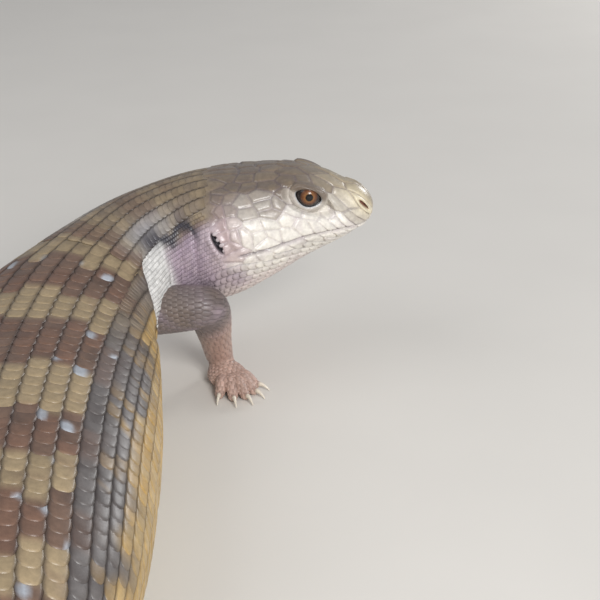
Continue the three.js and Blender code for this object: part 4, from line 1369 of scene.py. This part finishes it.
def tube_roots(path, size, wide, pitch, first, last):
    """Roots of plates on a tube, as share of its length and turn from its top."""
    long = np.linalg.norm(np.diff(path, axis=0), axis=1).sum()
    rings = max(2, int(long * (last - first) / pitch))
    found = []
    for k in range(rings):
        t = first + (last - first) * k / rings
        girth = math.tau * float(np.interp(t * (len(path) - 1), np.arange(len(path)), size.mean(axis=1)))
        count = max(4, round(girth / wide))
        for j in range(count):
            found.append((t, math.tau * (j + 0.5 * (k % 2)) / count, math.pi / count, pitch / long))
    return np.array(found).T


class SKINK_OT_limb_scales(bpy.types.Operator):
    """Lays the scales of the legs, feet and toes"""
    bl_idname = "skink.limb_scales"
    bl_label = "Leg scales"

    def execute(self, context):
        sizes, colours = context.scene.skink_sizes, context.scene.skink_colours
        tree = skin_tree()
        for order, (name, limb) in enumerate(LIMBS.items()):
            parts = []
            tubes = limb_tubes(limb)
            for part, (path, size) in tubes.items():
                toe = part.startswith("toe")
                wide = {"arm": sizes.limb_scale, "palm": sizes.limb_scale * 0.8}
                wide = wide.get(part, sizes.toe_scale) / MM
                first, last = {"arm": (0.1, 1.0), "palm": (0.0, 0.95)}.get(part, (0.25, 1.06))
                roots = tube_roots(path, size, wide, wide * (0.8 if toe else 0.85), first, last)
                parts.append(self.laid(path, size, roots, tree, toe))
            points = np.concatenate([part[0] for part in parts])
            kept = np.concatenate([part[1] for part in parts])
            points = points[kept]
            roots = points.reshape(len(points), -1, 3).mean(axis=1)
            self.build(name, over_floor(points), roots, order, colours)
        return {"FINISHED"}

    def laid(self, path, size, roots, tree, toe):
        """Points of the plates on one tube, set on the skin, and which plates are clear."""
        (across, back, lift), _ = plate_pattern(*LEG_GRID)
        t, turn, half, step = roots
        first = t[:, None] - 0.5 * step[:, None] + back[None, :] * step[:, None] * 1.6
        second = turn[:, None] + across[None, :] * half[:, None] * 1.06
        raw = tube_surface(path, size, first, second)
        rise = 0.2 if toe else 0.24
        points = np.empty_like(raw)
        kept = np.ones(len(raw), bool)
        for k in range(len(raw)):
            for n in range(raw.shape[1]):
                spot, normal, _, away = tree.find_nearest(raw[k, n])
                if away > LEG_SKIN:
                    kept[k] = False
                    break
                points[k, n] = np.array(spot) + np.array(normal) * (0.04 + rise * lift[n])
        return points, kept

    def build(self, name, points, roots, order, colours):
        """One mesh of all plates of a leg."""
        pattern = plate_pattern(*LEG_GRID)
        across, back, _ = pattern[0]
        low = points.reshape(-1, 3).min(axis=0)
        span = np.ptp(points.reshape(-1, 3), axis=0)
        middle = roots[:, :2].mean(axis=0)
        turn = np.arctan2(roots[:, 1] - middle[1], roots[:, 0] - middle[0])
        spots = np.stack([0.02 + 0.96 * (roots[:, 0] - low[0]) / span[0],
                          0.02 + 0.96 * (roots[:, 1] - low[1] + 0.6 * (roots[:, 2] - low[2]))
                          / (span[1] + 0.6 * span[2])], -1)
        spots += 0.0015 * np.stack([np.cos(turn), np.sin(turn)], -1)
        base = limb_marking(points.reshape(-1, 3), colours).reshape(points.shape)
        flat = base.shape[:2]
        # The leg plates take the same darker sides and fronts: dark seams, partly painted shade between the
        # plates
        shade = plate_shade(
            base, np.broadcast_to(across, flat), np.broadcast_to(back, flat), 41 + order, colours.umber, 0.35)
        piece = plates_mesh(name + "_scales", pattern, points, shade, spots)
        finish_with(piece, scale_material(), [])


class SKINK_OT_claws(bpy.types.Operator):
    """Makes the claws of each foot"""
    bl_idname = "skink.claws"
    bl_label = "Claws"

    def execute(self, context):
        colours = context.scene.skink_colours
        # Claw keratin is hard and slightly see-through: pale, with a brown root and a soft gloss
        made = tinted_material("pale claw horn", rough=0.28, coat=0.3, patch=0.8, grit=0.4, grit_height=0.04,
                               strength=0.2)
        for name, limb in LIMBS.items():
            palm = palm_of(limb)
            parts = []
            shades = []
            for way, toe in toes_of(limb):
                tip = palm + way * (TOE["root"] + toe)
                tip[2] = TOE["tip"]
                t = np.linspace(0, 1, 22)[:, None]
                path = tip + way * (CLAW["long"] * t + CLAW["gap"] - 0.5 * (1 - t))
                path[:, 2:] += CLAW["up"] + 0.25 * np.sin(math.pi * t) - CLAW["drop"] * t**2
                thick = CLAW["thick"] + (CLAW["tip"] - CLAW["thick"]) * t**0.9
                points, faces = tube_solid(path, np.concatenate([thick * 0.86, thick], 1), 20)
                parts.append((over_floor(points), faces))
                far = np.clip((points - path[0]) @ way / CLAW["long"], 0, 1)
                shades.append(mix(np.array(colours.finger) * 0.8, colours.claw, ramp(far, 0.02, 0.35)))
            piece = outward(make_mesh(name + "_claws", *merge(parts), np.concatenate(shades)))
            nodes = [name + "_claw_" + str(k) for k in range(1, 6)]
            finish_with(piece, made, nodes)
        return {"FINISHED"}


class SKINK_OT_ear_scales(bpy.types.Operator):
    """Makes the pale lobes on the front edge of each ear"""
    bl_idname = "skink.ear_scales"
    bl_label = "Ear lobes"

    def execute(self, context):
        colours = context.scene.skink_colours
        parts = []
        for side in (1, -1):
            for down in (-3.1, -1.1, 0.9, 2.8):
                s = EAR["s"] - EAR["wide"] * 0.75 + EAR["lean"] * down - 0.35
                g = EAR["g"] + down
                heart = body_point(s, side * g, -0.25)
                back = body_point(s + 1, side * g) - body_point(s - 1, side * g)
                back /= np.linalg.norm(back)
                low = body_point(s, side * (g + 1)) - body_point(s, side * (g - 1))
                low /= np.linalg.norm(low)
                out = np.cross(back, low)
                a = np.linspace(0.04, math.pi - 0.04, 16)[:, None]
                turn = np.arange(24)[None, :] * math.tau / 24
                shape = round_ways(a, turn, back * 0.85, low * 0.62, out * 0.35)
                parts.append(((heart + shape).reshape(-1, 3), tube_faces(16, 24)))
        points, faces = merge(parts)
        shade = np.tile(mix(colours.cheek, colours.neck, 0.62), (len(points), 1))
        piece = make_mesh("ear_lobes", points, faces, shade)
        finish_with(piece, scale_material(), [])
        return {"FINISHED"}


# The camera: height over the floor in metres, degrees that it looks down, focal length
CAMERA = {"height": 0.214, "down": 25, "lens": 84}
# Soft square lights: name, place and target in metres, width in metres, power in watts
LAMPS = (
    ("key", (0.35, -0.6, 0.52), (0.05, 0.1, 0.03), 0.32, 6.8),
    ("fill", (-0.6, -0.1, 0.7), (0.03, 0.1, 0.0), 0.6, 1.7),
    ("back", (0.62, 0.85, 0.3), (0.03, 0.08, 0.02), 0.22, 2.0),
)


class SKINK_OT_stage(bpy.types.Operator):
    """Sets the pale floor, the soft lights and the camera"""
    bl_idname = "skink.stage"
    bl_label = "Stage"

    def execute(self, context):
        scene = context.scene
        scene.view_settings.view_transform = "Standard"
        sheet = np.array([(-6000, -6000, 0), (6000, -6000, 0), (6000, 6000, 0), (-6000, 6000, 0)], float)
        floor = make_mesh("floor", sheet, [np.array([[0, 1, 2, 3]])])
        # Matt studio board: pale and even, with only a faint cloudiness
        made, tree = material("matt studio board")
        spot = add(tree, "ShaderNodeTexCoord", {})
        cloud = add(tree, "ShaderNodeTexNoise", {"Scale": 1 / 0.05, "Detail": 2.0},
                    [("Vector", spot.outputs["Object"])])
        shade = add(tree, "ShaderNodeMapRange", {"To Min": 0.97, "To Max": 1.03},
                    [("Value", cloud.outputs["Fac"])])
        base = (*scene.skink_colours.floor, 1)
        mixed = add(tree, "ShaderNodeMix", {"data_type": "RGBA", "blend_type": "MULTIPLY", 0: 1.0, 6: base},
                    [(7, shade.outputs["Result"])])
        shader = add(tree, "ShaderNodeBsdfPrincipled", {"Roughness": 0.75},
                     [("Base Color", mixed.outputs[2])])
        add(tree, "ShaderNodeOutputMaterial", {}, [("Surface", shader.outputs["BSDF"])])
        floor.data.materials.append(made)
        for lamp in LAMPS:
            self.lamp(*lamp)
        world = bpy.data.worlds.new("studio")
        world.use_nodes = True
        air = world.node_tree.nodes["Background"]
        air.inputs["Color"].default_value = (0.93, 0.95, 1.0, 1)
        air.inputs["Strength"].default_value = 0.38
        scene.world = world
        lens = bpy.data.cameras.new("camera")
        lens.lens = CAMERA["lens"]
        lens.sensor_width = 36
        lens.clip_start = 0.01
        camera = bpy.data.objects.new("camera", lens)
        camera.location = (-MIDDLE[0] * MM, -MIDDLE[1] * MM, CAMERA["height"])
        camera.rotation_euler = (math.radians(90 - CAMERA["down"]), 0, 0)
        scene.collection.objects.link(camera)
        scene.camera = camera
        return {"FINISHED"}

    def lamp(self, name, place_at, target, size, power):
        """One soft square light, aimed at the target."""
        light = bpy.data.lights.new(name, "AREA")
        light.size = size
        light.energy = power
        lamp = bpy.data.objects.new(name, light)
        lamp.location = place_at
        way = np.array(target) - np.array(place_at)
        flat = math.hypot(way[0], way[1])
        lamp.rotation_euler = (math.atan2(flat, -way[2]), 0, math.atan2(way[1], way[0]) - math.pi / 2)
        bpy.context.scene.collection.objects.link(lamp)


OPERATORS = (
    SKINK_OT_skin, SKINK_OT_eyes, SKINK_OT_back_scales, SKINK_OT_tail_scales, SKINK_OT_neck_scales,
    SKINK_OT_limb_scales, SKINK_OT_ear_scales, SKINK_OT_claws, SKINK_OT_stage,
)


class SKINK_PT_panel(bpy.types.Panel):
    """Lists the sizes, the colours and the steps of the skink"""
    bl_idname = "SKINK_PT_panel"
    bl_label = "Skink"
    bl_space_type = "VIEW_3D"
    bl_region_type = "UI"
    bl_category = "Skink"

    def draw(self, context):
        for group in (context.scene.skink_sizes, context.scene.skink_colours):
            for key in type(group).__annotations__:
                self.layout.prop(group, key)
        for operator in OPERATORS:
            self.layout.operator(operator.bl_idname)


CLASSES = (SkinkSizes, SkinkColours, *OPERATORS, SKINK_PT_panel)


def register():
    for kind in CLASSES:
        bpy.utils.register_class(kind)
    bpy.types.Scene.skink_sizes = PointerProperty(type=SkinkSizes)
    bpy.types.Scene.skink_colours = PointerProperty(type=SkinkColours)


def unregister():
    del bpy.types.Scene.skink_colours
    del bpy.types.Scene.skink_sizes
    for kind in reversed(CLASSES):
        bpy.utils.unregister_class(kind)


def main():
    register()
    for step in OPERATORS:
        group, name = step.bl_idname.split(".")
        getattr(getattr(bpy.ops, group), name)()


if __name__ == "__main__":
    main()
